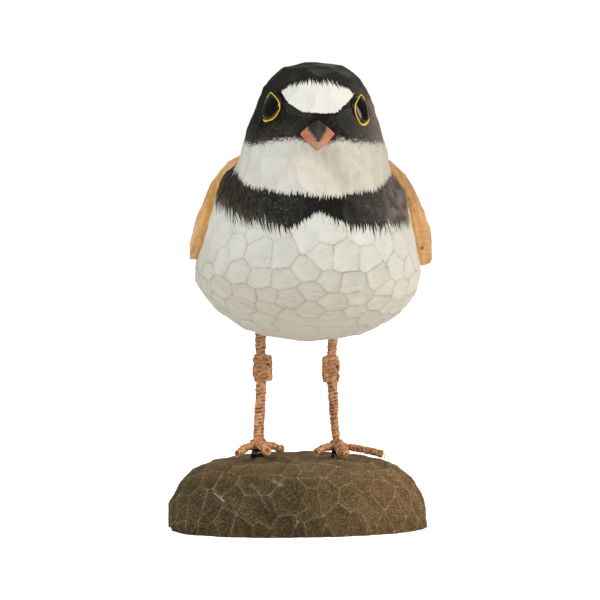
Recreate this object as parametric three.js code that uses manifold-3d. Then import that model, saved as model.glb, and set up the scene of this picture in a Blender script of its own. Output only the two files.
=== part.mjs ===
// A hand-carved and painted wooden shorebird (a ringed plover) that stands on a
// carved wooden stone. The bird is one carved piece with knife facets all over,
// its legs and toes are wire wound with twine, and its eyes are glass beads.
//
// Millimetres, +Z up, the bird faces -Y, and the origin is the middle of the
// stone's flat underside.
import * as THREE from "three";
import { mergeVertices } from "three/addons/utils/BufferGeometryUtils.js";
import Module from "manifold-3d";

const wasm = await Module();
wasm.setup();

// ------------------------------------------------------------------ sizes
const STONE_LENGTH = 85.2; // along X
const STONE_DEPTH = 54; // along Y
const STONE_HEIGHT = 23.4;
const STONE_PLAN_POWER = 2.6; // 2 is an ellipse, more is squarer

const BELLY_Z = 61.4; // lowest point of the bird's body
const SHOULDER_Z = 121.6; // top of the body, hidden in the neck
const CROWN_Z = 149.7; // top of the head
const BIRD_LEAN = 0.02; // sideways, mm per mm of height
const HEAD_TURN = -3.5; // degrees about +Z, towards -X

const BODY_FACET = 10.6; // spacing of the knife cuts
const HEAD_FACET = 8.2;
const STONE_FACET = 8;
const WING_FACET = 8.4;
const TAIL_FACET = 7;

const BILL_LENGTH = 15.5;
const BILL_DROOP = 9; // degrees below level
const BILL_HALF_WIDTH = 4.8;
const BILL_UP = 3.8;
const BILL_DOWN = 4.7;

const WING_OUT = 1.1; // how far both wings sit towards +X of the body's middle
const WING_DROP = 1.2; // how far the +X wing lies under the other's height, halved

const EYE_ANGLE = { [-1]: 42, [1]: 39.8 }; // degrees from straight ahead, by side
const EYE_Z = 135.2;
const EYE_HALF = [4.35, 4.75, 3.1]; // along the head, up, into the head
const EYE_SINK = 1.75; // how far the bead's middle lies under the skin
const FIT_GAP = 0.3; // between pieces that touch

const SHANK_R = 1.55;
const PEG_R = 0.9; // the bare leg wire under the foot
const LEG_TOP_Z = 74;

// ---------------------------------------------------------------- helpers
const V = (x, y, z) => new THREE.Vector3(x, y, z);

function random(seed) {
  let s = seed >>> 0;
  return () => {
    s = (s + 0x6d2b79f5) >>> 0;
    let t = Math.imul(s ^ (s >>> 15), 1 | s);
    t = (t + Math.imul(t ^ (t >>> 7), 61 | t)) ^ t;
    return ((t ^ (t >>> 14)) >>> 0) / 4294967296;
  };
}

// A smooth curve through [position, value] keys that never overshoots them.
function profile(keys) {
  const n = keys.length;
  const slope = [];
  for (let i = 0; i < n - 1; i++)
    slope.push((keys[i + 1][1] - keys[i][1]) / (keys[i + 1][0] - keys[i][0]));
  const m = keys.map((_, i) => {
    if (i === 0) return slope[0];
    if (i === n - 1) return slope[n - 2];
    const a = slope[i - 1],
      b = slope[i];
    return a * b <= 0 ? 0 : (2 * a * b) / (a + b);
  });
  return (t) => {
    if (t <= keys[0][0]) return keys[0][1];
    if (t >= keys[n - 1][0]) return keys[n - 1][1];
    let i = 0;
    while (t > keys[i + 1][0]) i++;
    const h = keys[i + 1][0] - keys[i][0];
    const u = (t - keys[i][0]) / h;
    return (
      keys[i][1] * (1 + 2 * u) * (1 - u) * (1 - u) +
      keys[i + 1][1] * u * u * (3 - 2 * u) +
      m[i] * h * u * (1 - u) * (1 - u) +
      m[i + 1] * h * u * u * (u - 1)
    );
  };
}

const smooth = (a, b, t) => {
  const u = Math.min(1, Math.max(0, (t - a) / (b - a)));
  return u * u * (3 - 2 * u);
};
const softMin = (a, b, k) => {
  const h = Math.max(k - Math.abs(a - b), 0) / k;
  return Math.min(a, b) - (h * h * k) / 4;
};

// A form given by its level slices: half width, front, back and widest place at
// each height. It is negative inside and roughly a distance near the skin.
function sliced({ low, high, width, front, back, widest, middle, bow, stern }) {
  return (x, y, z) => {
    const w = width(z);
    const c = widest(z);
    if (z <= low || z >= high || w < 1e-3)
      return Math.hypot(Math.max(low - z, z - high, 0), x - middle(z), y - c);
    const a = y < c ? c - front(z) : back(z) - c;
    const p = y < c ? bow(z) : stern(z);
    const s =
      Math.pow(Math.abs(x - middle(z)) / w, 2.15) +
      Math.pow(Math.abs(y - c) / Math.max(a, 0.1), p);
    return ((s - 1) * w) / 2.15;
  };
}

function gradient(f, x, y, z) {
  const e = 0.15;
  return new THREE.Vector3(
    f(x + e, y, z) - f(x - e, y, z),
    f(x, y + e, z) - f(x, y - e, z),
    f(x, y, z + e) - f(x, y, z - e),
  ).multiplyScalar(0.5 / e);
}

// The closed skin of an implicit form: one vertex in each grid cell that it
// crosses, drawn onto the form, and one quad across each grid edge.
function skin(f, lo, hi, h) {
  const n = [0, 1, 2].map((i) => Math.ceil((hi[i] - lo[i]) / h) + 1);
  const at = (i, j, k) => i + n[0] * (j + n[1] * k);
  const value = new Float64Array(n[0] * n[1] * n[2]);
  for (let k = 0; k < n[2]; k++)
    for (let j = 0; j < n[1]; j++)
      for (let i = 0; i < n[0]; i++)
        value[at(i, j, k)] = f(lo[0] + i * h, lo[1] + j * h, lo[2] + k * h);
  const cell = new Int32Array(value.length).fill(-1);
  const points = [];
  const edges = [];
  for (let a = 0; a < 8; a++)
    for (const b of [1, 2, 4]) if (!(a & b)) edges.push([a, a | b]);
  for (let k = 0; k < n[2] - 1; k++)
    for (let j = 0; j < n[1] - 1; j++)
      for (let i = 0; i < n[0] - 1; i++) {
        const v = [];
        for (let a = 0; a < 8; a++)
          v.push(value[at(i + (a & 1), j + ((a >> 1) & 1), k + (a >> 2))]);
        const sum = new THREE.Vector3();
        let count = 0;
        for (const [a, b] of edges)
          if (v[a] < 0 !== v[b] < 0) {
            const t = v[a] / (v[a] - v[b]);
            sum.x += (a & 1) + t * ((b & 1) - (a & 1));
            sum.y += ((a >> 1) & 1) + t * (((b >> 1) & 1) - ((a >> 1) & 1));
            sum.z += (a >> 2) + t * ((b >> 2) - (a >> 2));
            count++;
          }
        if (!count) continue;
        cell[at(i, j, k)] = points.length;
        points.push(
          new THREE.Vector3(
            lo[0] + (i + sum.x / count) * h,
            lo[1] + (j + sum.y / count) * h,
            lo[2] + (k + sum.z / count) * h,
          ),
        );
      }
  for (const p of points)
    for (let step = 0; step < 3; step++) {
      const g = gradient(f, p.x, p.y, p.z);
      const size = g.length();
      if (size < 1e-6) break;
      const move = (f(p.x, p.y, p.z) / size) * 0.8;
      p.addScaledVector(g, -Math.max(-h / 2, Math.min(h / 2, move)) / size);
    }
  const faces = [];
  const quad = (a, b, c, d, flip) => {
    const q = flip ? [d, c, b, a] : [a, b, c, d];
    const first =
      points[q[0]].distanceToSquared(points[q[2]]) <=
      points[q[1]].distanceToSquared(points[q[3]]);
    if (first) faces.push([q[0], q[1], q[2]], [q[0], q[2], q[3]]);
    else faces.push([q[0], q[1], q[3]], [q[1], q[2], q[3]]);
  };
  for (let k = 1; k < n[2] - 1; k++)
    for (let j = 1; j < n[1] - 1; j++)
      for (let i = 1; i < n[0] - 1; i++) {
        const v = value[at(i, j, k)] < 0;
        if (v !== value[at(i + 1, j, k)] < 0)
          quad(
            cell[at(i, j - 1, k - 1)],
            cell[at(i, j, k - 1)],
            cell[at(i, j, k)],
            cell[at(i, j - 1, k)],
            !v,
          );
        if (v !== value[at(i, j + 1, k)] < 0)
          quad(
            cell[at(i - 1, j, k - 1)],
            cell[at(i - 1, j, k)],
            cell[at(i, j, k)],
            cell[at(i, j, k - 1)],
            !v,
          );
        if (v !== value[at(i, j, k + 1)] < 0)
          quad(
            cell[at(i - 1, j - 1, k)],
            cell[at(i, j - 1, k)],
            cell[at(i, j, k)],
            cell[at(i - 1, j, k)],
            !v,
          );
      }
  return { points, faces, normals: points.map((p) => gradient(f, p.x, p.y, p.z).normalize()) };
}

// Knife facets. The skin's vertices gather round scattered cuts, each cut is a
// plane, and the facets' corners are where three cuts meet.
function carve({ points, faces, normals }, { spacing, seed, grain, rounds = 2, depth = 0.25, loose = 0.03 }) {
  const rnd = random(seed);
  const along = grain ? new THREE.Vector3(...grain.along).normalize() : null;
  const measure = (p, q, np, nq) => {
    const d = p.clone().sub(q);
    let l = d.lengthSq();
    if (along) {
      const a = d.dot(along);
      l -= a * a * (1 - grain.squeeze * grain.squeeze);
    }
    return l + (1 - np.dot(nq)) * 46;
  };
  const near = points.map(() => []);
  for (const [a, b, c] of faces) {
    near[a].push(b);
    near[b].push(c);
    near[c].push(a);
  }
  // scattered starting places, no two closer than a varying share of the spacing
  const order = points.map((_, i) => [rnd(), i]).sort((a, b) => a[0] - b[0]);
  let cuts = [];
  for (const [, i] of order) {
    const r = spacing(points[i]) * (0.62 + 0.42 * rnd());
    if (cuts.every((c) => measure(points[i], c.p, normals[i], c.n) > Math.min(r, c.r) ** 2))
      cuts.push({ p: points[i].clone(), n: normals[i].clone(), r });
  }
  let label;
  const grow = () => {
    label = new Int32Array(points.length).fill(-1);
    // each cut grows over the skin from the vertex nearest it
    const heap = [];
    const push = (d, v, c) => {
      heap.push([d, v, c]);
      let i = heap.length - 1;
      while (i && heap[(i - 1) >> 1][0] > heap[i][0]) {
        [heap[i], heap[(i - 1) >> 1]] = [heap[(i - 1) >> 1], heap[i]];
        i = (i - 1) >> 1;
      }
    };
    const pop = () => {
      const top = heap[0],
        last = heap.pop();
      if (heap.length) {
        heap[0] = last;
        for (let i = 0; ; ) {
          let s = i;
          for (const c of [2 * i + 1, 2 * i + 2])
            if (c < heap.length && heap[c][0] < heap[s][0]) s = c;
          if (s === i) break;
          [heap[i], heap[s]] = [heap[s], heap[i]];
          i = s;
        }
      }
      return top;
    };
    cuts.forEach((c, k) => {
      let best = Infinity,
        from = 0;
      points.forEach((p, i) => {
        const d = measure(p, c.p, normals[i], c.n);
        if (d < best) [best, from] = [d, i];
      });
      push(0, from, k);
    });
    while (heap.length) {
      const [, v, k] = pop();
      if (label[v] >= 0) continue;
      label[v] = k;
      for (const w of near[v])
        if (label[w] < 0)
          push(measure(points[w], cuts[k].p, normals[w], cuts[k].n), w, k);
    }
    const mean = cuts.map((c) => ({ p: new THREE.Vector3(), n: new THREE.Vector3(), m: 0, r: c.r }));
    label.forEach((k, i) => {
      mean[k].p.add(points[i]);
      mean[k].n.add(normals[i]);
      mean[k].m++;
    });
    const kept = [];
    mean.forEach((c, k) => {
      if (!c.m) return;
      c.p.divideScalar(c.m);
      c.n.normalize();
      c.old = k;
      kept.push(c);
    });
    const renamed = new Map(kept.map((c, k) => [c.old, k]));
    label = label.map((k) => renamed.get(k));
    cuts = kept;
  };
  for (let round = 0; round <= rounds; round++) grow();
  const opposite = new Map();
  faces.forEach((f, i) => {
    for (let e = 0; e < 3; e++) opposite.set(f[e] * points.length + f[(e + 1) % 3], i);
  });
  const isCorner = (f) => new Set(f.map((v) => label[v])).size === 3;
  // the next corner of the skin along the border of a cut, from one corner to it
  const step = (i, a, b) => {
    for (;;) {
      const f = faces[i];
      let e = 0;
      while (!(label[f[e]] === a && label[f[(e + 1) % 3]] === b)) e++;
      i = opposite.get(f[(e + 1) % 3] * points.length + f[e]);
      if (isCorner(faces[i])) return i;
    }
  };
  const borders = () => {
    const rings = cuts.map(() => []);
    const done = new Set();
    faces.forEach((f, start) => {
      if (!isCorner(f)) return;
      for (const v of f) {
        const k = label[v];
        if (done.has(start + ":" + k)) continue;
        const ring = [];
        let i = start;
        do {
          ring.push(i);
          if (ring.length > faces.length) throw new Error("the skin is not closed");
          done.add(i + ":" + k);
          const g = faces[i];
          const at = g.findIndex((w) => label[w] === k);
          i = step(i, label[g[(at + 2) % 3]], k);
        } while (i !== start);
        rings[k].push(ring);
      }
    });
    return rings;
  };
  // a cut that has no single border of its own is given up to its neighbours
  let rings = borders();
  while (rings.some((r) => r.length !== 1 || r[0].length < 3)) {
    cuts = cuts.filter((_, k) => rings[k].length === 1 && rings[k][0].length > 2);
    grow();
    rings = borders();
  }
  for (const c of cuts) c.p.addScaledVector(c.n, -depth * rnd());

  // the corners: faces of the skin whose three vertices lie in three cuts
  const corner = new Map();
  const corners = [];
  const starts = [];
  const moves = [];
  faces.forEach((f, i) => {
    if (!isCorner(f)) return;
    const meeting = f.map((v) => cuts[label[v]]);
    const start = V(0, 0, 0);
    for (const v of f) start.addScaledVector(points[v], 1 / 3);
    // least squares on the three planes, held loosely to the skin
    const m = [loose, 0, 0, 0, loose, 0, 0, 0, loose];
    const r = [0, 0, 0];
    for (const { n, p } of meeting) {
      const d = n.dot(p) - n.dot(start);
      const t = n.toArray();
      for (let u = 0; u < 3; u++) {
        r[u] += t[u] * d;
        for (let v = 0; v < 3; v++) m[3 * u + v] += t[u] * t[v];
      }
    }
    const move = V(...r).applyMatrix3(new THREE.Matrix3().set(...m).invert());
    move.clampLength(0, 0.3 * Math.min(...meeting.map((c) => c.r)));
    corner.set(i, corners.length);
    starts.push(start);
    moves.push(move);
    corners.push(start.clone().add(move));
  });
  // where a facet folds over itself its corners draw back towards the skin
  for (let round = 0; round < 10; round++) {
    const back = new Set();
    rings.forEach(([border], k) => {
      const ring = border.map((i) => corner.get(i));
      const middle = new THREE.Vector3();
      for (const c of ring) middle.addScaledVector(corners[c], 1 / ring.length);
      ring.forEach((c, i) => {
        const d = ring[(i + 1) % ring.length];
        const n = corners[c].clone().sub(middle).cross(corners[d].clone().sub(middle));
        if (n.dot(cuts[k].n) < 0.3 * n.length()) back.add(c).add(d);
      });
    });
    for (const c of back) {
      moves[c].multiplyScalar(0.6);
      corners[c].copy(starts[c]).add(moves[c]);
    }
  }
  const position = corners.flatMap((c) => c.toArray());
  const index = [];
  rings.forEach(([border]) => {
    const ring = border.map((i) => corner.get(i));
    const middle = new THREE.Vector3();
    for (const c of ring) middle.addScaledVector(corners[c], 1 / ring.length);
    const at = position.length / 3;
    position.push(...middle.toArray());
    ring.forEach((c, i) => index.push(at, c, ring[(i + 1) % ring.length]));
  });
  return solid(new Float32Array(position), new Uint32Array(index));
}

function solid(vertProperties, triVerts) {
  const made = new wasm.Manifold(new wasm.Mesh({ numProp: 3, vertProperties, triVerts }));
  if (made.volume() <= 0) throw new Error("a solid is inside out");
  return made;
}

function solidOf(geometry, matrix) {
  const g = geometry.clone();
  if (matrix) g.applyMatrix4(matrix);
  g.deleteAttribute("normal");
  g.deleteAttribute("uv");
  const merged = mergeVertices(g, 1e-4);
  return solid(merged.attributes.position.array, new Uint32Array(merged.index.array));
}

function geometryOf(made) {
  const m = made.getMesh();
  const position = new Float32Array(m.triVerts.length * 3);
  m.triVerts.forEach((v, i) => {
    for (let a = 0; a < 3; a++) position[3 * i + a] = m.vertProperties[v * m.numProp + a];
  });
  const g = new THREE.BufferGeometry();
  g.setAttribute("position", new THREE.BufferAttribute(position, 3));
  g.computeVertexNormals();
  return g;
}

// A round bar along a curve, with its own radius at each share of its length.
function bar(line, radius, sides = 12, steps = 16) {
  const frames = line.computeFrenetFrames(steps, false);
  const position = [];
  const index = [];
  for (let i = 0; i <= steps; i++) {
    const p = line.getPointAt(i / steps);
    for (let j = 0; j < sides; j++) {
      const a = (2 * Math.PI * j) / sides;
      const q = p
        .clone()
        .addScaledVector(frames.normals[i], Math.cos(a) * radius(i / steps))
        .addScaledVector(frames.binormals[i], Math.sin(a) * radius(i / steps));
      position.push(...q.toArray());
    }
  }
  for (let i = 0; i < steps; i++)
    for (let j = 0; j < sides; j++) {
      const a = i * sides + j,
        b = i * sides + ((j + 1) % sides);
      index.push(a, b, b + sides, a, b + sides, a + sides);
    }
  for (const [i, flip] of [
    [0, true],
    [steps, false],
  ]) {
    const at = position.length / 3;
    position.push(...line.getPointAt(i / steps).toArray());
    for (let j = 0; j < sides; j++) {
      const a = i * sides + j,
        b = i * sides + ((j + 1) % sides);
      index.push(...(flip ? [at, b, a] : [at, a, b]));
    }
  }
  return solid(new Float32Array(position), new Uint32Array(index));
}

// ------------------------------------------------------- the bird's form
// The body, from the belly up to the shoulders, by level slices.
const middle = (z) => 1.5 + (z - 84) * BIRD_LEAN + 1.3 * smooth(84, 69, z);
const bodyForm = sliced({
  low: BELLY_Z,
  high: SHOULDER_Z,
  middle,
  width: profile([
    [61.4, 0], [61.7, 5.5], [62.2, 9.5], [63, 13.6], [64.2, 17.6], [66, 21.8], [69, 26.6],
    [72.5, 30.4], [77, 33.8], [81, 35.4], [84.5, 35.7], [90, 34.8], [97, 33.3], [103, 32.1],
    [108.5, 30.9], [113, 29], [116.5, 26.2], [119, 21.6], [120.8, 13.5], [121.4, 6.5], [121.6, 0],
  ]),
  front: profile([
    [61.4, -14], [62.2, -22], [64, -30], [67, -38], [71, -45.5], [76, -52], [82, -56.6],
    [88, -58.4], [94, -58.4], [100, -57.2], [106, -54.2], [111, -49], [116, -40], [119.5, -28],
    [121.6, -12],
  ]),
  back: profile([
    [61.4, -10], [62.2, 2], [64, 14], [67, 29], [70, 41], [74, 54], [78, 64], [82, 69.5],
    [86, 68.5], [91, 61.5], [98, 49.5], [105, 37.5], [111, 26.5], [116, 16.5], [119.5, 7.5],
    [121.6, -6],
  ]),
  widest: profile([[61.4, -12], [84, -17], [105, -14], [121.6, -9]]),
  bow: () => 2.2,
  stern: () => 1.75,
});

// The head and throat, an egg that stands in the shoulders and overhangs the breast.
const headForm = sliced({
  low: 99,
  high: CROWN_Z,
  middle,
  width: profile([
    [99, 0], [99.5, 4.5], [101, 9.5], [104, 15.6], [107.5, 20.2], [111, 22.7], [115, 23.6],
    [119, 23.4], [123, 22.6], [127, 21.5], [130.5, 20.3], [134, 19], [138, 17.6], [141.5, 16],
    [144, 14.4], [146.4, 12.2], [148, 9.6], [149.1, 6.2], [149.5, 3.6], [149.7, 0],
  ]),
  front: profile([
    [99, -36], [101, -47], [104, -53], [108, -55.2], [112, -54.6], [116, -53], [120, -52],
    [124, -51.8], [128, -51.8], [132, -51.2], [136, -49.8], [140, -47.4], [143, -44.6],
    [146, -40], [148, -35.6], [149.7, -27],
  ]),
  back: profile([
    [99, -24], [102, -14], [106, -6], [111, 0], [116, 2.5], [120, 1.5], [124, -1.5],
    [128, -4.5], [132, -7], [136, -8.8], [140, -10.8], [143, -13], [146, -16.5], [148, -20.4],
    [149.7, -27],
  ]),
  widest: profile([[99, -32], [112, -31], [125, -29], [149.7, -27]]),
  bow: () => 2.25,
  stern: () => 2.1,
});

const HEAD_AXIS = V(2.4, -28, 0);
function turned(x, y, z) {
  const a = (-HEAD_TURN * Math.PI * smooth(106, 128, z)) / 180;
  const dx = x - HEAD_AXIS.x,
    dy = y - HEAD_AXIS.y;
  return [
    HEAD_AXIS.x + dx * Math.cos(a) - dy * Math.sin(a),
    HEAD_AXIS.y + dx * Math.sin(a) + dy * Math.cos(a),
    z,
  ];
}
const birdForm = (x, y, z) =>
  softMin(bodyForm(x, y, z), headForm(...turned(x, y, z)), 4.5);

// The tail, a flat blade out of the rump.
const TAIL_START = V(1.4, 44, 91);
const TAIL_END = V(1.4, 93, 74.5);
const tailAxis = TAIL_END.clone().sub(TAIL_START);
const TAIL_LENGTH = tailAxis.length();
tailAxis.normalize();
const tailUp = V(0, -tailAxis.z, tailAxis.y);
const tailHalf = profile([[0, 13.5], [20, 11.2], [36, 10.6], [TAIL_LENGTH, 12.4]]);
const tailThick = profile([[0, 5.4], [20, 4], [36, 2.8], [TAIL_LENGTH, 1.7]]);
function tailForm(x, y, z) {
  const d = V(x, y, z).sub(TAIL_START);
  const s = d.dot(tailAxis),
    u = d.dot(tailUp),
    v = d.x;
  const w = tailHalf(s),
    t = tailThick(s);
  const end = TAIL_LENGTH - 0.045 * v * v; // the tail's end is a shallow arc
  const r = 0.75 * t; // the long edges are rounded
  const dv = Math.abs(v) - (w - r),
    du = Math.abs(u) - (t - r);
  const across = Math.hypot(Math.max(dv, 0), Math.max(du, 0)) + Math.min(Math.max(dv, du), 0) - r;
  return Math.max(across, s - end, -s);
}

const wingThick = profile([
  [84, 2.6], [88, 3.1], [93, 3.7], [98, 3.9], [103, 3.2], [108, 2.3], [113.5, 1.7], [118.6, 1.4], [124, 1.2],
]);

// The folded wings lie on the body as thick flaps. They thin out to the shoulder.
function wingForm(x, y, z) {
  const f = (a, b, c) => softMin(bodyForm(a, b, c), tailForm(a, b, c), 6);
  const value = f(x, y, z);
  if (Math.abs(value) > 14) return value;
  const distance = value / Math.max(0.5, gradient(f, x, y, z).length());
  const thick =
    wingThick(z) *
    (1 - 0.62 * smooth(20, 86, y)) *
    (1 - 0.5 * smooth(21, 6, Math.abs(x - 1.5)));
  return distance - thick;
}

const birdSkin = skin(birdForm, [-40, -64, 56.3], [42, 76, 153], 2.05);
let bird = carve(birdSkin, {
  seed: 23,
  spacing: (p) => {
    const body = BODY_FACET - 2 * smooth(0, -32, p.y);
    return body + (HEAD_FACET - body) * smooth(112, 126, p.z);
  },
});

const tail = carve(skin(tailForm, [-17, 38, 66], [20, 99, 100], 1.6), {
  seed: 5,
  spacing: () => TAIL_FACET,
  grain: { along: tailAxis.toArray(), squeeze: 0.5 },
  depth: 0.1,
});

// The wing's outline seen from the side, y and z: leading edge from the shoulder
// down to the front corner, lower edge to the tip, and well above the back.
const WING_SIDE = [
  { from: [-4, 124] },
  { curve: [-15, 119, -22.5, 109, -23.5, 100] },
  { curve: [-24.2, 95, -21.5, 90.5, -15.5, 87.4] },
  { curve: [4, 85, 30, 85.6, 50, 83.4] },
  { curve: [66, 81.4, 78, 77.8, 88, 74.4] },
  { to: [90, 79] },
  { to: [60, 118] },
  { to: [20, 134] },
];
function outline(parts) {
  const shape = new THREE.Shape();
  for (const part of parts) {
    if (part.from) shape.moveTo(...part.from);
    if (part.to) shape.lineTo(...part.to);
    if (part.curve) shape.bezierCurveTo(...part.curve);
  }
  shape.closePath();
  return shape;
}
function wing(side) {
  // an upright wall of the outline on one side of the bird: (y, z) drawn, x deep
  const deep = 60;
  const wall = new THREE.ExtrudeGeometry(outline(WING_SIDE), {
    depth: deep,
    bevelEnabled: false,
    curveSegments: 7,
  });
  wall.applyMatrix4(new THREE.Matrix4().set(0, 0, 1, 0, 1, 0, 0, 0, 0, 1, 0, 0, 0, 0, 0, 1));
  const sideWall = solidOf(wall, new THREE.Matrix4().makeTranslation(side > 0 ? 1.5 : 1.5 - deep, 0, 0));
  // the mantle between the wings is left bare: a long wedge seen from above
  const bare = new THREE.Shape();
  bare.moveTo(-17, -30);
  bare.lineTo(17, -30);
  bare.lineTo(15.5, 2);
  bare.quadraticCurveTo(11.5, 40, 3.4, 72);
  bare.lineTo(1.6, 92);
  bare.lineTo(-1.6, 92);
  bare.lineTo(-3.4, 72);
  bare.quadraticCurveTo(-11.5, 40, -15.5, 2);
  bare.closePath();
  const wedge = solidOf(
    new THREE.ExtrudeGeometry(bare, { depth: 120, bevelEnabled: false, curveSegments: 8 }),
    new THREE.Matrix4().makeTranslation(1.5, 0, 60),
  );
  // the two wings were not cut quite alike: one lies a little lower and further out
  return cloak
    .translate([WING_OUT, 0, 0])
    .intersect(sideWall.translate([0, 0, -side * WING_DROP]))
    .subtract(wedge);
}
const cloak = carve(skin(wingForm, [-47, -68, 54], [50, 102, 130], 2.1), {
  seed: 41,
  spacing: () => WING_FACET,
  grain: { along: [0, 0.93, -0.36], squeeze: 0.42 },
  depth: 0.2,
});

// The bill: a stout four-edged wedge that droops a little.
function bill() {
  const stations = [
    [-7, 1.06], [0, 1], [0.3 * BILL_LENGTH, 0.8], [0.6 * BILL_LENGTH, 0.53],
    [0.85 * BILL_LENGTH, 0.27], [BILL_LENGTH, 0.06],
  ];
  const sides = 12;
  const position = [];
  const index = [];
  for (const [s, k] of stations)
    for (let j = 0; j < sides; j++) {
      const a = (2 * Math.PI * j) / sides;
      const c = Math.cos(a),
        t = Math.sin(a);
      const r = 1 / Math.pow(Math.pow(Math.abs(c), 1.12) + Math.pow(Math.abs(t), 1.12), 1 / 1.12);
      const up = t > 0 ? BILL_UP : BILL_DOWN;
      position.push(BILL_HALF_WIDTH * k * r * c, -s, up * k * r * t);
    }
  for (let i = 0; i < stations.length - 1; i++)
    for (let j = 0; j < sides; j++) {
      const a = i * sides + j,
        b = i * sides + ((j + 1) % sides);
      index.push(a, b, b + sides, a, b + sides, a + sides);
    }
  const last = (stations.length - 1) * sides;
  for (let j = 1; j < sides - 1; j++) {
    index.push(0, j + 1, j);
    index.push(last, last + j, last + j + 1);
  }
  const g = new THREE.BufferGeometry();
  g.setAttribute("position", new THREE.BufferAttribute(new Float32Array(position), 3));
  g.setIndex(index);
  const place = new THREE.Matrix4()
    .makeTranslation(HEAD_AXIS.x + 0.4, 0, 0)
    .multiply(new THREE.Matrix4().makeTranslation(0, HEAD_AXIS.y, 0))
    .multiply(new THREE.Matrix4().makeRotationZ(((HEAD_TURN - 1.3) * Math.PI) / 180))
    .multiply(new THREE.Matrix4().makeTranslation(0, -23.2, 127))
    .multiply(new THREE.Matrix4().makeRotationX((BILL_DROOP * Math.PI) / 180));
  return solidOf(g, place);
}

// The eyes' places: where a level line from the head's middle meets the skin.
function eyePlace(side) {
  const a = ((EYE_ANGLE[side] * side + HEAD_TURN) * Math.PI) / 180;
  const out = V(Math.sin(a), -Math.cos(a), 0);
  const z = EYE_Z - 0.45 * side;
  const from = V(middle(z), HEAD_AXIS.y, z);
  let r = 5;
  while (birdForm(from.x + out.x * r, from.y + out.y * r, z) < 0) r += 0.02;
  const p = from.clone().addScaledVector(out, r);
  return { p, n: gradient(birdForm, p.x, p.y, p.z).normalize() };
}
function bead(side, grow) {
  const { p, n } = eyePlace(side);
  const along = V(0, 0, 1).cross(n).normalize();
  const up = n.clone().cross(along);
  const m = new THREE.Matrix4()
    .makeBasis(along, up, n)
    .setPosition(p.clone().addScaledVector(n, -EYE_SINK));
  const [a, b, c] = EYE_HALF.map((v) => v + grow);
  return solidOf(
    new THREE.SphereGeometry(1, 22, 14),
    m.multiply(new THREE.Matrix4().makeScale(a, b, c)),
  );
}

// ---------------------------------------------------------------- stone
const stoneShare = profile([
  [-8, 1], [3, 1], [6, 0.996], [9, 0.972], [12, 0.938], [15.2, 0.885], [18.4, 0.808],
  [20.2, 0.735], [21.7, 0.63], [22.7, 0.5], [23.2, 0.33], [23.4, 0],
]);
const stoneForm = sliced({
  low: -8,
  high: STONE_HEIGHT,
  middle: () => 0,
  width: (z) => (STONE_LENGTH / 2) * stoneShare(z),
  front: (z) => (-STONE_DEPTH / 2) * Math.pow(stoneShare(z), 0.8),
  back: (z) => (STONE_DEPTH / 2) * Math.pow(stoneShare(z), 0.9),
  widest: () => 0,
  bow: () => STONE_PLAN_POWER,
  stern: () => STONE_PLAN_POWER,
});
const stoneRough = carve(skin(stoneForm, [-47, -32, -11], [47, 32, 27], 1.9), {
  seed: 12,
  spacing: (p) => STONE_FACET - 1.8 * smooth(2, -14, p.y),
  grain: { along: [0, 0, 1], squeeze: 0.44 },
  depth: 0.4,
});
let stone = stoneRough.intersect(
  solidOf(new THREE.BoxGeometry(120, 90, 60), new THREE.Matrix4().makeTranslation(0, 0, 30)),
);

// How high the stone stands at a place, by the triangle over it.
function heightOf(made) {
  const m = made.getMesh();
  return (x, y) => {
    let best = 0;
    for (let t = 0; t < m.triVerts.length; t += 3) {
      const [a, b, c] = [0, 1, 2].map((i) => {
        const v = m.triVerts[t + i] * m.numProp;
        return [m.vertProperties[v], m.vertProperties[v + 1], m.vertProperties[v + 2]];
      });
      const area = (b[0] - a[0]) * (c[1] - a[1]) - (c[0] - a[0]) * (b[1] - a[1]);
      if (Math.abs(area) < 1e-9) continue;
      const u = ((x - a[0]) * (c[1] - a[1]) - (c[0] - a[0]) * (y - a[1])) / area;
      const v = ((b[0] - a[0]) * (y - a[1]) - (x - a[0]) * (b[1] - a[1])) / area;
      if (u < 0 || v < 0 || u + v > 1) continue;
      best = Math.max(best, a[2] + u * (b[2] - a[2]) + v * (c[2] - a[2]));
    }
    return best;
  };
}
const stoneTop = heightOf(stone);

// ------------------------------------------------------------ legs, feet
// Each leg's wire by [x, y, z] down from the body, its girth, and its toes by
// the place of the tip on the stone and how far that tip floats above it.
const LEGS = {
  left: {
    line: [[-11.9, 1.2, LEG_TOP_Z], [-11.9, 1, 62], [-11.8, 0.6, 50], [-12, 0.3, 41], [-12.5, 0, 33], [-12.8, 0, 27]],
    girth: profile([[0, 1], [0.7, 1], [1, 0.97]]),
    knee: { at: 51.8, half: [2.05, 2.2], strand: [2.15, -0.3, 1.35], height: 9 },
    toes: {
      outer: { tip: [-20.2, -7.2], lift: 0.5, arch: 1.2, r: 1.15, knob: 1 },
      middle: { tip: [-10.8, -9.4], lift: 0.6, arch: 1.5, r: 1.25, knob: 1.04 },
      inner: { tip: [-5.3, -3.6], lift: 0.5, arch: 1.1, r: 1.12, knob: 1.02 },
    },
  },
  right: {
    line: [[12, 1.2, LEG_TOP_Z], [11.8, 1, 62], [11.3, 0.6, 52], [11.8, 0.3, 42], [12.3, 0, 33], [13.2, 0, 26.2]],
    girth: profile([[0, 1], [0.7, 0.97], [0.86, 0.82], [0.93, 0.76], [1, 1]]),
    knee: { at: 51.2, half: [1.95, 2.1], strand: [-1.75, -0.5, 1.25], height: 9 },
    toes: {
      inner: { tip: [5.2, -8.6], lift: 0.15, arch: 2, r: 1.15, knob: 1 },
      middle: { tip: [13.5, -9.6], lift: 0.25, arch: 1, r: 1.25, knob: 1.36 },
      outer: { tip: [27.5, -4.6], lift: 1.25, arch: 0.3, r: 1.1, knob: 1.04 },
    },
  },
};

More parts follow.
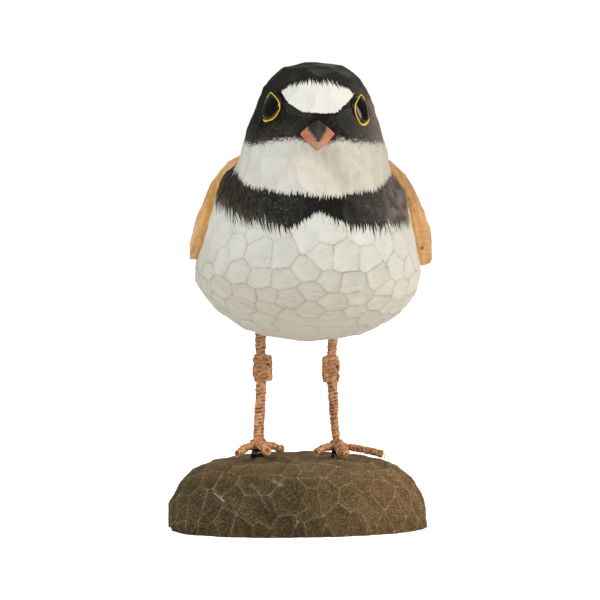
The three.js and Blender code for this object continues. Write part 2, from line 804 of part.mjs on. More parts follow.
function leg(spec) {
  const line = new THREE.CatmullRomCurve3(spec.line.map((p) => V(...p)));
  const shank = bar(line, (u) => SHANK_R * spec.girth(u), 12, 22);
  const [x, y, z] = spec.line.at(-1);
  // the wound knot of the ankle, and the bare wire below it that enters the stone
  const hub = solidOf(
    new THREE.SphereGeometry(1, 14, 10),
    new THREE.Matrix4()
      .makeTranslation(x, y, z + 0.1)
      .multiply(new THREE.Matrix4().makeScale(2.5, 2.3, 1.9)),
  );
  const peg = solidOf(
    new THREE.CylinderGeometry(PEG_R, PEG_R, 12, 10),
    new THREE.Matrix4()
      .makeTranslation(x, y, z - 5.6)
      .multiply(new THREE.Matrix4().makeRotationX(Math.PI / 2)),
  );
  return shank.add(hub).add(peg);
}

function pegHole(spec) {
  const [x, y, z] = spec.line.at(-1);
  return solidOf(
    new THREE.CylinderGeometry(PEG_R + FIT_GAP, PEG_R + FIT_GAP, 20, 16),
    new THREE.Matrix4()
      .makeTranslation(x, y, z - 11.6 - FIT_GAP + 10)
      .multiply(new THREE.Matrix4().makeRotationX(Math.PI / 2)),
  );
}

function legHole(spec) {
  const line = new THREE.CatmullRomCurve3(spec.line.slice(0, 2).map((p) => V(...p)));
  const start = line.getPointAt(0).add(V(0, 0, FIT_GAP + 0.1));
  const end = line.getPointAt(1).add(V(0, 0, -8));
  return bar(new THREE.LineCurve3(start, end), () => SHANK_R + FIT_GAP + 0.1, 16, 2);
}

// A sleeve of twine round the knee: a round winding and, beside it, the bound
// end of a second strand.
function knee(spec) {
  const line = new THREE.CatmullRomCurve3(spec.line.map((p) => V(...p)));
  let u = 0;
  while (line.getPointAt(u).z > spec.knee.at) u += 0.002;
  const p = line.getPointAt(u),
    t = line.getTangentAt(u).negate();
  const turn = new THREE.Quaternion().setFromUnitVectors(V(0, 0, 1), t);
  const [a, b] = spec.knee.half;
  const h = spec.knee.height;
  const drum = (rx, ry, x, y, height) => {
    const g = new THREE.CylinderGeometry(1, 1, 1, 18, 4);
    g.rotateX(Math.PI / 2);
    const q = g.attributes.position;
    for (let i = 0; i < q.count; i++) {
      const z = q.getZ(i);
      const k = Math.abs(z) > 0.49 ? 0.86 : 1; // rounded rims
      q.setXYZ(i, q.getX(i) * rx * k + x, q.getY(i) * ry * k + y, z * height * (Math.abs(z) > 0.2 && Math.abs(z) < 0.3 ? 1.72 : 1));
    }
    return solidOf(
      g,
      new THREE.Matrix4().compose(p, turn, V(1, 1, 1)),
    );
  };
  const [sx, sy, sr] = spec.knee.strand;
  return drum(a + 0.05, b, 0, 0, h)
    .add(drum(sr, sr + 0.35, sx, sy, h * 0.94))
    .subtract(bar(line, (v) => SHANK_R * spec.girth(v) + FIT_GAP, 12, 22));
}

function toe(spec, { tip, lift, arch, r, knob }) {
  const [x, y, z] = spec.line.at(-1);
  const out = V(tip[0] - x, tip[1] - y, 0).normalize();
  const root = V(x, y, z - 0.3).addScaledVector(out, 3.2);
  const top = stoneTop(tip[0], tip[1]);
  const end = V(tip[0], tip[1], top + r * knob + lift);
  const mid = root.clone().lerp(end, 0.5);
  mid.z = Math.max(mid.z + arch * 0.5, stoneTop(mid.x, mid.y) + r + 0.4);
  const line = new THREE.CatmullRomCurve3([root, mid, end]);
  const girth = (u) => r * (0.72 + 0.28 * smooth(0, 0.22, u) + (knob - 1) * smooth(0.45, 0.8, u));
  return bar(line, girth, 12, 9);
}

// ------------------------------------------------------------- assembly
const finish = {
  bird: new THREE.MeshStandardMaterial({ color: 0xdedacd, roughness: 0.62, metalness: 0 }),
  eye: new THREE.MeshStandardMaterial({ color: 0x0b0908, roughness: 0.06, metalness: 0 }),
  leg: new THREE.MeshStandardMaterial({ color: 0xb5845d, roughness: 0.7, metalness: 0 }),
  stone: new THREE.MeshStandardMaterial({ color: 0x5a4c31, roughness: 0.8, metalness: 0 }),
};
const object = new THREE.Group();
function place(name, made, material) {
  const mesh = new THREE.Mesh(geometryOf(made), material);
  mesh.name = name;
  object.add(mesh);
}

bird = bird.add(tail).add(wing(-1)).add(wing(1)).add(bill());
for (const side of [-1, 1]) bird = bird.subtract(bead(side, FIT_GAP));
for (const spec of Object.values(LEGS)) {
  bird = bird.subtract(legHole(spec));
  stone = stone.subtract(pegHole(spec));
}
place("carved_bird", bird, finish.bird);
place("carved_stone_base", stone, finish.stone);
place("glass_eye_left", bead(-1, 0), finish.eye);
place("glass_eye_right", bead(1, 0), finish.eye);
for (const [name, spec] of Object.entries(LEGS)) {
  place("wire_leg_" + name, leg(spec), finish.leg);
  place("knee_binding_" + name, knee(spec), finish.leg);
  for (const [which, t] of Object.entries(spec.toes))
    place("toe_" + name + "_" + which, toe(spec, t), finish.leg);
}

export default object;
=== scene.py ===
import math

import bpy
import numpy as np
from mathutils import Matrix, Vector, kdtree, noise
from mathutils.bvhtree import BVHTree


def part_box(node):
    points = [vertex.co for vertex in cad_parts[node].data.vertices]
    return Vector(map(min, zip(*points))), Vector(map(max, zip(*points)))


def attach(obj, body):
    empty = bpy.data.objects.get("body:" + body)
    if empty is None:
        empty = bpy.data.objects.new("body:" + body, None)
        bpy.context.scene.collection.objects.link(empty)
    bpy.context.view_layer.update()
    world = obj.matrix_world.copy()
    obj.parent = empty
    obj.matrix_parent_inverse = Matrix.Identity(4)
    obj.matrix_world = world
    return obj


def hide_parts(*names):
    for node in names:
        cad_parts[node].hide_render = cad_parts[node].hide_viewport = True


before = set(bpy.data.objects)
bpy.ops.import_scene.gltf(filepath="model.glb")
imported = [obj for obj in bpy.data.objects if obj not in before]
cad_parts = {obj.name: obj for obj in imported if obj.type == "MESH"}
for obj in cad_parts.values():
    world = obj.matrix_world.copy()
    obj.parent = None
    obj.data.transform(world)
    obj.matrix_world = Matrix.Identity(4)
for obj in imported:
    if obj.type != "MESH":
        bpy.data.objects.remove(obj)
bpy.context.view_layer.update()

MM = 0.001


# ---------------------------------------------------------------- mesh tools
def cad_mesh(name):
    """A node's vertices in millimetres, welded, and its triangles."""
    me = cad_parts[name].data
    co = np.empty(len(me.vertices) * 3, np.float32)
    me.vertices.foreach_get("co", co)
    me.calc_loop_triangles()
    tri = np.empty(len(me.loop_triangles) * 3, np.int32)
    me.loop_triangles.foreach_get("vertices", tri)
    co = co.reshape(-1, 3).astype(float) * 1000
    key, first, inverse = np.unique(
        np.round(co * 500).astype(np.int64), axis=0, return_index=True, return_inverse=True
    )
    tri = inverse.reshape(-1)[tri.reshape(-1, 3)]
    good = (tri[:, 0] != tri[:, 1]) & (tri[:, 1] != tri[:, 2]) & (tri[:, 0] != tri[:, 2])
    return co[first], tri[good]


def edges_of(t):
    """Each edge once, and for each triangle the numbers of its edges 01, 12 and 20."""
    e = np.stack([t, np.roll(t, -1, axis=1)], axis=2).reshape(-1, 2)
    e = np.sort(e, axis=1)
    unique, inverse = np.unique(e, axis=0, return_inverse=True)
    return unique, inverse.reshape(-1, 3)


def face_normals(v, t):
    n = np.cross(v[t[:, 1]] - v[t[:, 0]], v[t[:, 2]] - v[t[:, 0]])
    area = np.linalg.norm(n, axis=1)
    return n / np.maximum(area, 1e-12)[:, None], area


def vertex_normals(v, t):
    n, area = face_normals(v, t)
    out = np.zeros_like(v)
    for k in range(3):
        np.add.at(out, t[:, k], n * area[:, None])
    return out / np.maximum(np.linalg.norm(out, axis=1), 1e-12)[:, None]


def ridges_of(v, t, least):
    """The edges where two knife cuts meet: [edge ends], with 1 where it stands out and -1 in a corner."""
    n, area = face_normals(v, t)
    e, te = edges_of(t)
    order = np.argsort(te.ravel(), kind="stable")
    faces = np.repeat(np.arange(len(t)), 3)[order].reshape(-1, 2)
    a, b = faces[:, 0], faces[:, 1]
    angle = np.degrees(np.arccos(np.clip(np.einsum("ij,ij->i", n[a], n[b]), -1, 1)))
    centre = v[t].mean(axis=1)
    out = np.where(np.einsum("ij,ij->i", centre[b] - centre[a], n[a]) < 0, 1, -1)
    keep = (angle > least) & (area[a] > 1e-3) & (area[b] > 1e-3)
    # a ridge that ends in the middle of a cut isn't one
    for _ in range(12):
        count = np.bincount(e[keep].ravel(), minlength=len(v))
        loose = keep & (angle < 30) & ((count[e[:, 0]] < 2) | (count[e[:, 1]] < 2))
        if not loose.any():
            break
        keep &= ~loose
    return e[keep], out[keep], angle[keep]


def refine(v, t, limit):
    """Halves every edge longer than limit(middle) until none is left."""
    for _ in range(9):
        e, te = edges_of(t)
        mid = (v[e[:, 0]] + v[e[:, 1]]) / 2
        long = np.linalg.norm(v[e[:, 0]] - v[e[:, 1]], axis=1) > limit(mid)
        if not long.any():
            break
        number = np.full(len(e), -1)
        number[long] = len(v) + np.arange(long.sum())
        v = np.concatenate([v, mid[long]])
        m = number[te]
        cut = m >= 0
        count = cut.sum(axis=1)
        parts = [t[count == 0]]
        q, w = t[count == 3], m[count == 3]
        parts += [
            np.stack([q[:, 0], w[:, 0], w[:, 2]], 1),
            np.stack([w[:, 0], q[:, 1], w[:, 1]], 1),
            np.stack([w[:, 2], w[:, 1], q[:, 2]], 1),
            np.stack([w[:, 0], w[:, 1], w[:, 2]], 1),
        ]
        for k in range(3):
            one = (count == 1) & cut[:, k]
            a, b, c = t[one][:, k], t[one][:, (k + 1) % 3], t[one][:, (k + 2) % 3]
            w = m[one][:, k]
            parts += [np.stack([a, w, c], 1), np.stack([w, b, c], 1)]
            two = (count == 2) & ~cut[:, (k + 2) % 3]
            a, b, c = t[two][:, k], t[two][:, (k + 1) % 3], t[two][:, (k + 2) % 3]
            w, u = m[two][:, k], m[two][:, (k + 1) % 3]
            parts += [np.stack([w, b, u], 1)]
            near = np.linalg.norm(v[a] - v[u], axis=1) < np.linalg.norm(v[w] - v[c], axis=1)
            parts += [
                np.stack([a, w, u], 1)[near],
                np.stack([a, u, c], 1)[near],
                np.stack([a, w, c], 1)[~near],
                np.stack([w, u, c], 1)[~near],
            ]
        t = np.concatenate(parts)
    return v, t


def distance_to(v, points):
    tree = kdtree.KDTree(len(points))
    for i, p in enumerate(points):
        tree.insert(p, i)
    tree.balance()
    out = np.empty(len(v))
    where = np.empty(len(v), int)
    for i, p in enumerate(v):
        _, where[i], out[i] = tree.find(p)
    return out, where


def along(v, e, step=0.22):
    """Points along edges, each with its edge's number."""
    length = np.linalg.norm(v[e[:, 0]] - v[e[:, 1]], axis=1)
    n = np.maximum(2, np.ceil(length / step).astype(int) + 1)
    who = np.repeat(np.arange(len(e)), n)
    at = np.concatenate([np.linspace(0, 1, k) for k in n])[:, None]
    return v[e[who, 0]] * (1 - at) + v[e[who, 1]] * at, who


def wobble(v, size, amount, seed):
    """A smooth random vector at each point, the same in every run."""
    shift = Vector((seed * 17.3, seed * 5.1, seed * 11.7))
    more, most = Vector((31.4, 7.9, 12.6)), Vector((5.3, 41.7, 22.9))
    out = []
    for p in v:
        q = Vector(p) / size + shift
        out.append((noise.noise(q), noise.noise(q + more), noise.noise(q + most)))
    return np.array(out) * amount


def speckle(v, size, seed):
    shift = Vector((seed * 7.7, seed * 3.9, seed * 13.1))
    return np.array([noise.noise(Vector(p) / size + shift) for p in v])


def make(name, v, t, body="root", replaces=(), smooth=True, attrs=None, sharp=None):
    """A mesh object from millimetres that rides on a body."""
    me = bpy.data.meshes.new(name)
    faces = t.tolist() if isinstance(t, np.ndarray) else t
    me.from_pydata((np.asarray(v) * MM).tolist(), [], faces)
    me.update()
    if smooth:
        me.shade_smooth()
    for key, values in (attrs or {}).items():
        a = me.attributes.new(key, "FLOAT", "POINT")
        a.data.foreach_set("value", np.asarray(values, np.float32))
    if sharp is not None:
        ends = np.empty(len(me.edges) * 2, np.int32)
        me.edges.foreach_get("vertices", ends)
        ends = np.sort(ends.reshape(-1, 2), axis=1)
        flags = sharp(ends)
        a = me.attributes.new("sharp_edge", "BOOLEAN", "EDGE")
        a.data.foreach_set("value", flags)
    ob = bpy.data.objects.new(name, me)
    bpy.context.scene.collection.objects.link(ob)
    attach(ob, body)
    if replaces:
        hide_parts(*replaces)
    return ob


def smoothstep(a, b, t):
    u = np.clip((np.asarray(t, float) - a) / (b - a), 0, 1)
    return u * u * (3 - 2 * u)


# -------------------------------------------------------------- shader tools
class Sock:
    def __init__(self, g, s):
        self.g, self.s = g, s

    def __add__(self, o):
        return self.g.math("ADD", self, o)

    __radd__ = __add__

    def __sub__(self, o):
        return self.g.math("SUBTRACT", self, o)

    def __rsub__(self, o):
        return self.g.math("SUBTRACT", o, self)

    def __mul__(self, o):
        return self.g.math("MULTIPLY", self, o)

    __rmul__ = __mul__

    def __truediv__(self, o):
        return self.g.math("DIVIDE", self, o)

    def __neg__(self):
        return self.g.math("MULTIPLY", self, -1.0)


def srgb(r, g, b):
    f = lambda c: c / 12.92 if c <= 0.04045 else ((c + 0.055) / 1.055) ** 2.4
    return (f(r / 255), f(g / 255), f(b / 255), 1)


class Graph:
    def __init__(self, name):
        self.mat = bpy.data.materials.new(name)
        self.mat.use_nodes = True
        self.t = self.mat.node_tree
        self.bsdf = self.t.nodes["Principled BSDF"]

    def node(self, kind, **props):
        n = self.t.nodes.new(kind)
        for k, v in props.items():
            setattr(n, k, v)
        return n

    def put(self, socket, value):
        if isinstance(value, Sock):
            self.t.links.new(value.s, socket)
        elif value is not None:
            socket.default_value = value

    def math(self, op, *args, clamp=False):
        n = self.node("ShaderNodeMath", operation=op, use_clamp=clamp)
        for i, a in enumerate(args):
            self.put(n.inputs[i], a)
        return Sock(self, n.outputs[0])

    def attr(self, name):
        n = self.node("ShaderNodeAttribute", attribute_name=name)
        return Sock(self, n.outputs["Fac"])

    def mm(self):
        c = self.node("ShaderNodeTexCoord")
        n = self.node("ShaderNodeVectorMath", operation="SCALE")
        self.t.links.new(c.outputs["Object"], n.inputs[0])
        n.inputs["Scale"].default_value = 1000
        return Sock(self, n.outputs[0])

    def xyz(self, v):
        n = self.node("ShaderNodeSeparateXYZ")
        self.put(n.inputs[0], v)
        return [Sock(self, o) for o in n.outputs]

    def vec(self, x, y, z):
        n = self.node("ShaderNodeCombineXYZ")
        for i, a in enumerate((x, y, z)):
            self.put(n.inputs[i], a)
        return Sock(self, n.outputs[0])

    def noise(self, v, scale, detail=2.0, rough=0.5, distortion=0.0):
        n = self.node("ShaderNodeTexNoise", noise_dimensions="3D")
        self.put(n.inputs["Vector"], v)
        n.inputs["Scale"].default_value = scale
        n.inputs["Detail"].default_value = detail
        n.inputs["Roughness"].default_value = rough
        n.inputs["Distortion"].default_value = distortion
        return Sock(self, n.outputs["Fac"])

    def hair(self, w, randomness=1.0):
        """Along a line of cells one unit wide: the distance to the cell's middle, and the cell's own random number."""
        n = self.node("ShaderNodeTexVoronoi", voronoi_dimensions="1D", feature="F1")
        self.put(n.inputs["W"], w)
        n.inputs["Scale"].default_value = 1
        n.inputs["Randomness"].default_value = randomness
        s = self.node("ShaderNodeSeparateColor")
        self.t.links.new(n.outputs["Color"], s.inputs[0])
        return Sock(self, n.outputs["Distance"]), Sock(self, s.outputs[0])

    def step(self, value, a, b, lo=0.0, hi=1.0):
        n = self.node("ShaderNodeMapRange", interpolation_type="SMOOTHSTEP")
        self.put(n.inputs["Value"], value)
        for key, x in (("From Min", a), ("From Max", b), ("To Min", lo), ("To Max", hi)):
            self.put(n.inputs[key], x)
        return Sock(self, n.outputs[0])

    def mix(self, f, a, b, mode="MIX"):
        n = self.node("ShaderNodeMix", data_type="RGBA", blend_type=mode)
        self.put(n.inputs[0], f)
        self.put(n.inputs[6], a)
        self.put(n.inputs[7], b)
        return Sock(self, n.outputs[2])

    def dim(self, f, colour, tone):
        """colour times tone, by f."""
        return self.mix(f, colour, tone, "MULTIPLY")

    def bump(self, height, distance, strength=1.0, after=None):
        n = self.node("ShaderNodeBump")
        n.inputs["Strength"].default_value = strength
        n.inputs["Distance"].default_value = distance * MM
        self.put(n.inputs["Height"], height)
        if after:
            self.put(n.inputs["Normal"], after)
        return Sock(self, n.outputs[0])

    def done(self, colour, rough, normal=None, **fixed):
        self.put(self.bsdf.inputs["Base Color"], colour)
        self.put(self.bsdf.inputs["Roughness"], rough)
        if normal:
            self.put(self.bsdf.inputs["Normal"], normal)
        for key, value in fixed.items():
            self.bsdf.inputs[key.replace("_", " ")].default_value = value
        return self.mat


# ------------------------------------------------------------ camera, lights
YAW = math.radians(6.0)  # the bird is turned a little to the viewer's right
PITCH = math.radians(3.16)
CAMERA_AWAY, CAMERA_UP, CAMERA_SIDE = 800.0, 118.0, 0.91
cam = bpy.data.cameras.new("camera")
cam.lens = 147.9
cam.sensor_width = 36
cam.clip_start = 0.02
cam.clip_end = 20
camera = bpy.data.objects.new("camera", cam)
camera.location = Vector(
    (
        CAMERA_SIDE * math.cos(YAW) - CAMERA_AWAY * math.sin(YAW),
        -CAMERA_SIDE * math.sin(YAW) - CAMERA_AWAY * math.cos(YAW),
        CAMERA_UP,
    )
) * MM
camera.rotation_euler = (math.pi / 2 - PITCH, 0, -YAW)
bpy.context.scene.collection.objects.link(camera)
bpy.context.scene.camera = camera
bpy.context.scene.view_settings.view_transform = "Standard"
bpy.context.scene.view_settings.look = "None"


def area_light(name, place, aim, size, watts, colour):
    data = bpy.data.lights.new(name, "AREA")
    data.shape = "ELLIPSE"
    data.size, data.size_y = size
    data.energy = watts
    data.color = colour
    ob = bpy.data.objects.new(name, data)
    ob.location = place
    ob.rotation_euler = (Vector(aim) - Vector(place)).to_track_quat("-Z", "Y").to_euler()
    bpy.context.scene.collection.objects.link(ob)


area_light("key", (-0.62, -0.7, 1.0), (0, -0.02, 0.08), (0.42, 0.42), 7.4, (1.0, 0.985, 0.955))
area_light("fill", (0.95, -0.45, 0.5), (0, -0.02, 0.08), (0.5, 0.8), 6.6, (1.0, 0.92, 0.82))
area_light("back", (0.25, 0.9, 0.9), (0, 0, 0.08), (0.7, 0.5), 2.2, (1.0, 1.0, 1.0))

world = bpy.data.worlds.new("studio")
bpy.context.scene.world = world
world.use_nodes = True
wt = world.node_tree
sky = wt.nodes["Background"]
sky.inputs["Color"].default_value = (1, 1, 1, 1)
sky.inputs["Strength"].default_value = 0.36
seen = wt.nodes.new("ShaderNodeBackground")
seen.inputs["Color"].default_value = (1, 1, 1, 1)
seen.inputs["Strength"].default_value = 1.0
path = wt.nodes.new("ShaderNodeLightPath")
dim = wt.nodes.new("ShaderNodeBackground")
dim.inputs["Color"].default_value = (1, 1, 1, 1)
dim.inputs["Strength"].default_value = 0.16
gloss = wt.nodes.new("ShaderNodeMixShader")
wt.links.new(path.outputs["Is Glossy Ray"], gloss.inputs[0])
wt.links.new(sky.outputs[0], gloss.inputs[1])
wt.links.new(dim.outputs[0], gloss.inputs[2])
blend = wt.nodes.new("ShaderNodeMixShader")
wt.links.new(path.outputs["Is Camera Ray"], blend.inputs[0])
wt.links.new(gloss.outputs[0], blend.inputs[1])
wt.links.new(seen.outputs[0], blend.inputs[2])
wt.links.new(blend.outputs[0], wt.nodes["World Output"].inputs["Surface"])

floor_mesh = bpy.data.meshes.new("floor")
side = 12.0
floor_mesh.from_pydata(
    [(-side, -side, 0), (side, -side, 0), (side, side, 0), (-side, side, 0)], [], [(0, 1, 2, 3)]
)
floor = bpy.data.objects.new("floor", floor_mesh)
bpy.context.scene.collection.objects.link(floor)
g = Graph("pale_floor")
g.bsdf.inputs["Base Color"].default_value = (0.86, 0.86, 0.86, 1)
g.bsdf.inputs["Roughness"].default_value = 0.9
g.bsdf.inputs["Specular IOR Level"].default_value = 0.1
g.bsdf.inputs["Emission Color"].default_value = (1, 1, 1, 1)
ray = g.node("ShaderNodeLightPath")
g.put(g.bsdf.inputs["Emission Strength"], g.step(Sock(g, ray.outputs["Is Camera Ray"]), 0.0, 1.0, 0.12, 0.8))
floor_mesh.materials.append(g.mat)


# ------------------------------------------------------------------ the bird
NECK = (2.2, -27.0)  # the paint's rings are told by the turn round this upright line
BODY_X = 1.5
BAND_UPPER = [
    (-180, 122), (-140, 121), (-110, 118.4), (-86, 115.6), (-68.6, 113.2), (-59, 111.7),
    (-46, 110.2), (-36, 109.9), (-26, 109.1), (-17, 109.1), (-8.5, 108.5), (-2, 107.9),
    (9.4, 108.2), (17, 108.7), (24, 109.3), (34, 109.6), (45, 110.8), (58.5, 112.9),
    (75, 115.0), (110, 118.6), (140, 121), (180, 122),
]
BAND_LOWER = [
    (-180, 118.5), (-140, 117), (-115, 112), (-91, 105), (-70, 102.7), (-55, 100.4),
    (-48, 99.3), (-36.7, 99.4), (-28, 97.9), (-19.5, 97.1), (-14, 99.0), (-8.4, 100.4),
    (-2, 101.9), (4.4, 100.4), (13.2, 98.5), (23, 98.2), (31, 97.5), (42.5, 98.0),
    (57, 98.4), (81, 99.1), (100, 105), (120, 112), (140, 117), (180, 118.5),
]
MASK_LOWER = [
    (-180, 128.5), (-130, 127), (-83, 124.8), (-56, 123.6), (-42.7, 124.5), (-30, 125.1),
    (-18.8, 125.7), (-10.8, 124.7), (-5, 123.5), (0.8, 124.4), (13.3, 125.4), (25, 124.6),
    (39, 124.3), (57, 124.3), (83, 124.6), (130, 127), (180, 128.5),
]
PATCH_UPPER = [(-37.8, 139.9), (-30.9, 142.2), (-10, 143.2), (16.6, 142.6), (27.5, 141.2), (31.9, 139.3)]
PATCH_LOWER = [(-37.8, 140.1), (-23.5, 135.7), (-13.4, 133.6), (-1.6, 133.2), (10.2, 133.3), (16.7, 135.2), (31.9, 139.2)]
WING_DROP = 1.2
WING_SIDE = [
    ((-4, 124), (-15, 119), (-22.5, 109), (-23.5, 100)),
    ((-23.5, 100), (-24.2, 95), (-21.5, 90.5), (-15.5, 87.4)),
    ((-15.5, 87.4), (4, 85), (30, 85.6), (50, 83.4)),
    ((50, 83.4), (66, 81.4), (78, 77.8), (88, 74.4)),
    ((88, 74.4), (89, 77), (89.5, 78), (90, 79)),
    ((90, 79), (80, 92), (70, 105), (60, 118)),
    ((60, 118), (47, 123), (33, 129), (20, 134)),
    ((20, 134), (12, 131), (4, 127), (-4, 124)),
]
MANTLE = [(-30, 17), (2, 15.5), (20, 13.4), (38.5, 10.5), (55, 7.3), (72, 3.4), (92, 1.6)]


def keyed(keys, t):
    k = np.array(keys, float)
    return np.interp(t, k[:, 0], k[:, 1])


def outline_distance(p, y, z):
    """Distance to a closed outline in the y-z plane, positive inside."""
    best = np.full(len(y), 1e9)
    inside = np.zeros(len(y), bool)
    for a, b in zip(p, np.roll(p, -1, axis=0)):
        d = b - a
        h = np.clip(((y - a[0]) * d[0] + (z - a[1]) * d[1]) / max(d @ d, 1e-9), 0, 1)
        best = np.minimum(best, np.hypot(y - a[0] - h * d[0], z - a[1] - h * d[1]))
        cross = (a[1] > z) != (b[1] > z)
        with np.errstate(divide="ignore", invalid="ignore"):
            at = a[0] + (z - a[1]) * d[0] / (d[1] if d[1] else 1e-9)
        inside ^= cross & (y < at)
    return np.where(inside, best, -best)


# the eyes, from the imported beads
def eye_frame(name):
    v, t = cad_mesh(name)
    centre = v.mean(axis=0)
    u, s, w = np.linalg.svd(v - centre, full_matrices=False)
    n = w[2] if w[2][1] < 0 else -w[2]  # the bead's thin way, facing forward
    side = np.cross([0, 0, 1], n)
    side /= np.linalg.norm(side)
    up = np.cross(n, side)
    return centre, side, up, n


EYES = ("glass_eye_left", "glass_eye_right")

v, t = cad_mesh("carved_bird")
ridge_e, ridge_s, ridge_a = ridges_of(v, t, 7.0)
eye_at = [eye_frame(k)[0] for k in EYES]


def bird_limit(p):
    near = np.min([np.linalg.norm(p - c, axis=1) for c in eye_at], axis=0)
    front = smoothstep(10, -20, p[:, 1])
    return np.where(near < 8.5, 0.5, 1.65 - 0.89 * front)


samples, who = along(v, ridge_e)
v, t = refine(v, t, bird_limit)
ridge, nearest = distance_to(v, samples)
angle = ridge_a[who[nearest]]
stands = ridge_s[who[nearest]]
normal = vertex_normals(v, t)
phi = np.degrees(np.arctan2(v[:, 0] - NECK[0], -(v[:, 1] - NECK[1])))
x, y, z = v.T
head = smoothstep(112, 126, z)
eye_near = np.min([np.linalg.norm(v - c, axis=1) for c in eye_at], axis=0)

# paint places, in millimetres from each edge
outline = np.array(
    [
        (
            (1 - s) ** 3 * np.array(a) + 3 * s * (1 - s) ** 2 * np.array(b)
            + 3 * s * s * (1 - s) * np.array(c) + s**3 * np.array(d)
        )
        for a, b, c, d in WING_SIDE
        for s in np.linspace(0, 1, 9)[:-1]
    ]
)
which = np.where(x > BODY_X, 1.0, -1.0)
wing = outline_distance(outline, y, z + which * WING_DROP)
mantle = np.abs(x - BODY_X) - keyed(MANTLE, y)
attrs = {
    "ridge": ridge,
    "crest": np.where(stands > 0, 1.0, 0.0) * smoothstep(5, 12, angle),
    "upper": z - keyed(BAND_UPPER, phi),
    "lower": z - keyed(BAND_LOWER, phi),
    "mask": z - keyed(MASK_LOWER, phi),
    "patch_up": keyed(PATCH_UPPER, phi) - z - 0.55 * np.maximum(0, np.maximum(phi - 31.9, -37.8 - phi)),
    "patch_low": z - keyed(PATCH_LOWER, phi),
    "arc": np.radians(phi) * 25.0,
    "turn": phi,
    "wing": np.minimum(wing, mantle),
    "wing_edge": wing,
    "wing_skin": np.abs(x - BODY_X) - np.interp(z, [84, 90, 97, 103, 108.5, 113, 116.5, 119], [35.4, 34.6, 33.2, 32.2, 31.2, 29.4, 26.8, 22.5]) * 0.985,
    "back": np.minimum(z - (91 - 0.337 * (y - 44)), y + 8),
}

# the bill's own frame: forward along it, across it and up from it
yaw, droop = math.radians(-4.8), math.radians(9.0)
q = v - np.array([2.8, -28.0, 0.0])
bx = q[:, 0] * math.cos(yaw) + q[:, 1] * math.sin(yaw)
by = -q[:, 0] * math.sin(yaw) + q[:, 1] * math.cos(yaw) + 23.2
bz = q[:, 2] - 127.0
long_way = -(by * math.cos(droop) + bz * math.sin(droop))
high_way = -by * math.sin(droop) + bz * math.cos(droop)
girth = np.interp(long_way, [-7, 0, 4.65, 9.3, 13.2, 15.5, 17], [1.06, 1, 0.8, 0.53, 0.27, 0.06, 0.06])
upright = np.where(high_way > 0, 3.8, 4.7)
square = (
    (np.abs(bx) / (4.8 * girth)) ** 1.12 + (np.abs(high_way) / (upright * girth)) ** 1.12
) ** (1 / 1.12)
attrs["bill"] = np.where(long_way > -3, 0.5 - (square - 1) * girth * 4.6, -3.0)
attrs["bill_across"] = np.abs(bx)
attrs["bill_up"] = high_way / girth
attrs["bill_long"] = long_way

# the knife's scoops: each cut is a shallow hollow between crisp ridges
reach = 3.6 - 0.9 * head
on_bill = smoothstep(-0.8, 0.2, attrs["bill"])
depth = (0.34 - 0.12 * head) * (1 + 0.7 * speckle(v, 9, 3)) * (1 - 0.8 * on_bill)
depth *= smoothstep(4.2, 7.0, eye_near)
scoop = 1 - (1 - np.clip(ridge / reach, 0, 1)) ** 2
v = v - normal * (depth * scoop)[:, None]
calm = (1 - 0.7 * on_bill) * smoothstep(4.5, 8, eye_near)
v = v + wobble(v, 3.6, 0.26, 1) * calm[:, None]
v = v + normal * (speckle(v, 2.6, 9) * 0.045 * calm)[:, None]
v = np.clip(v, *(np.array(q) * 1000 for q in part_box("carved_bird")))


def sharp_bird(ends):
    return (ridge[ends[:, 0]] < 0.02) & (ridge[ends[:, 1]] < 0.02)


bird = make(
    "bird_carving", v, t, replaces=("carved_bird",), attrs=attrs, sharp=sharp_bird
)
bird_tree = BVHTree.FromPolygons([Vector(p) for p in v], t.tolist())


def dry_fine(g, P):
    x, y, z = g.xyz(P)
    return g.noise(g.vec(x * 0.7, y * 0.7, z * 1.5), 1.0, 3, 0.7)


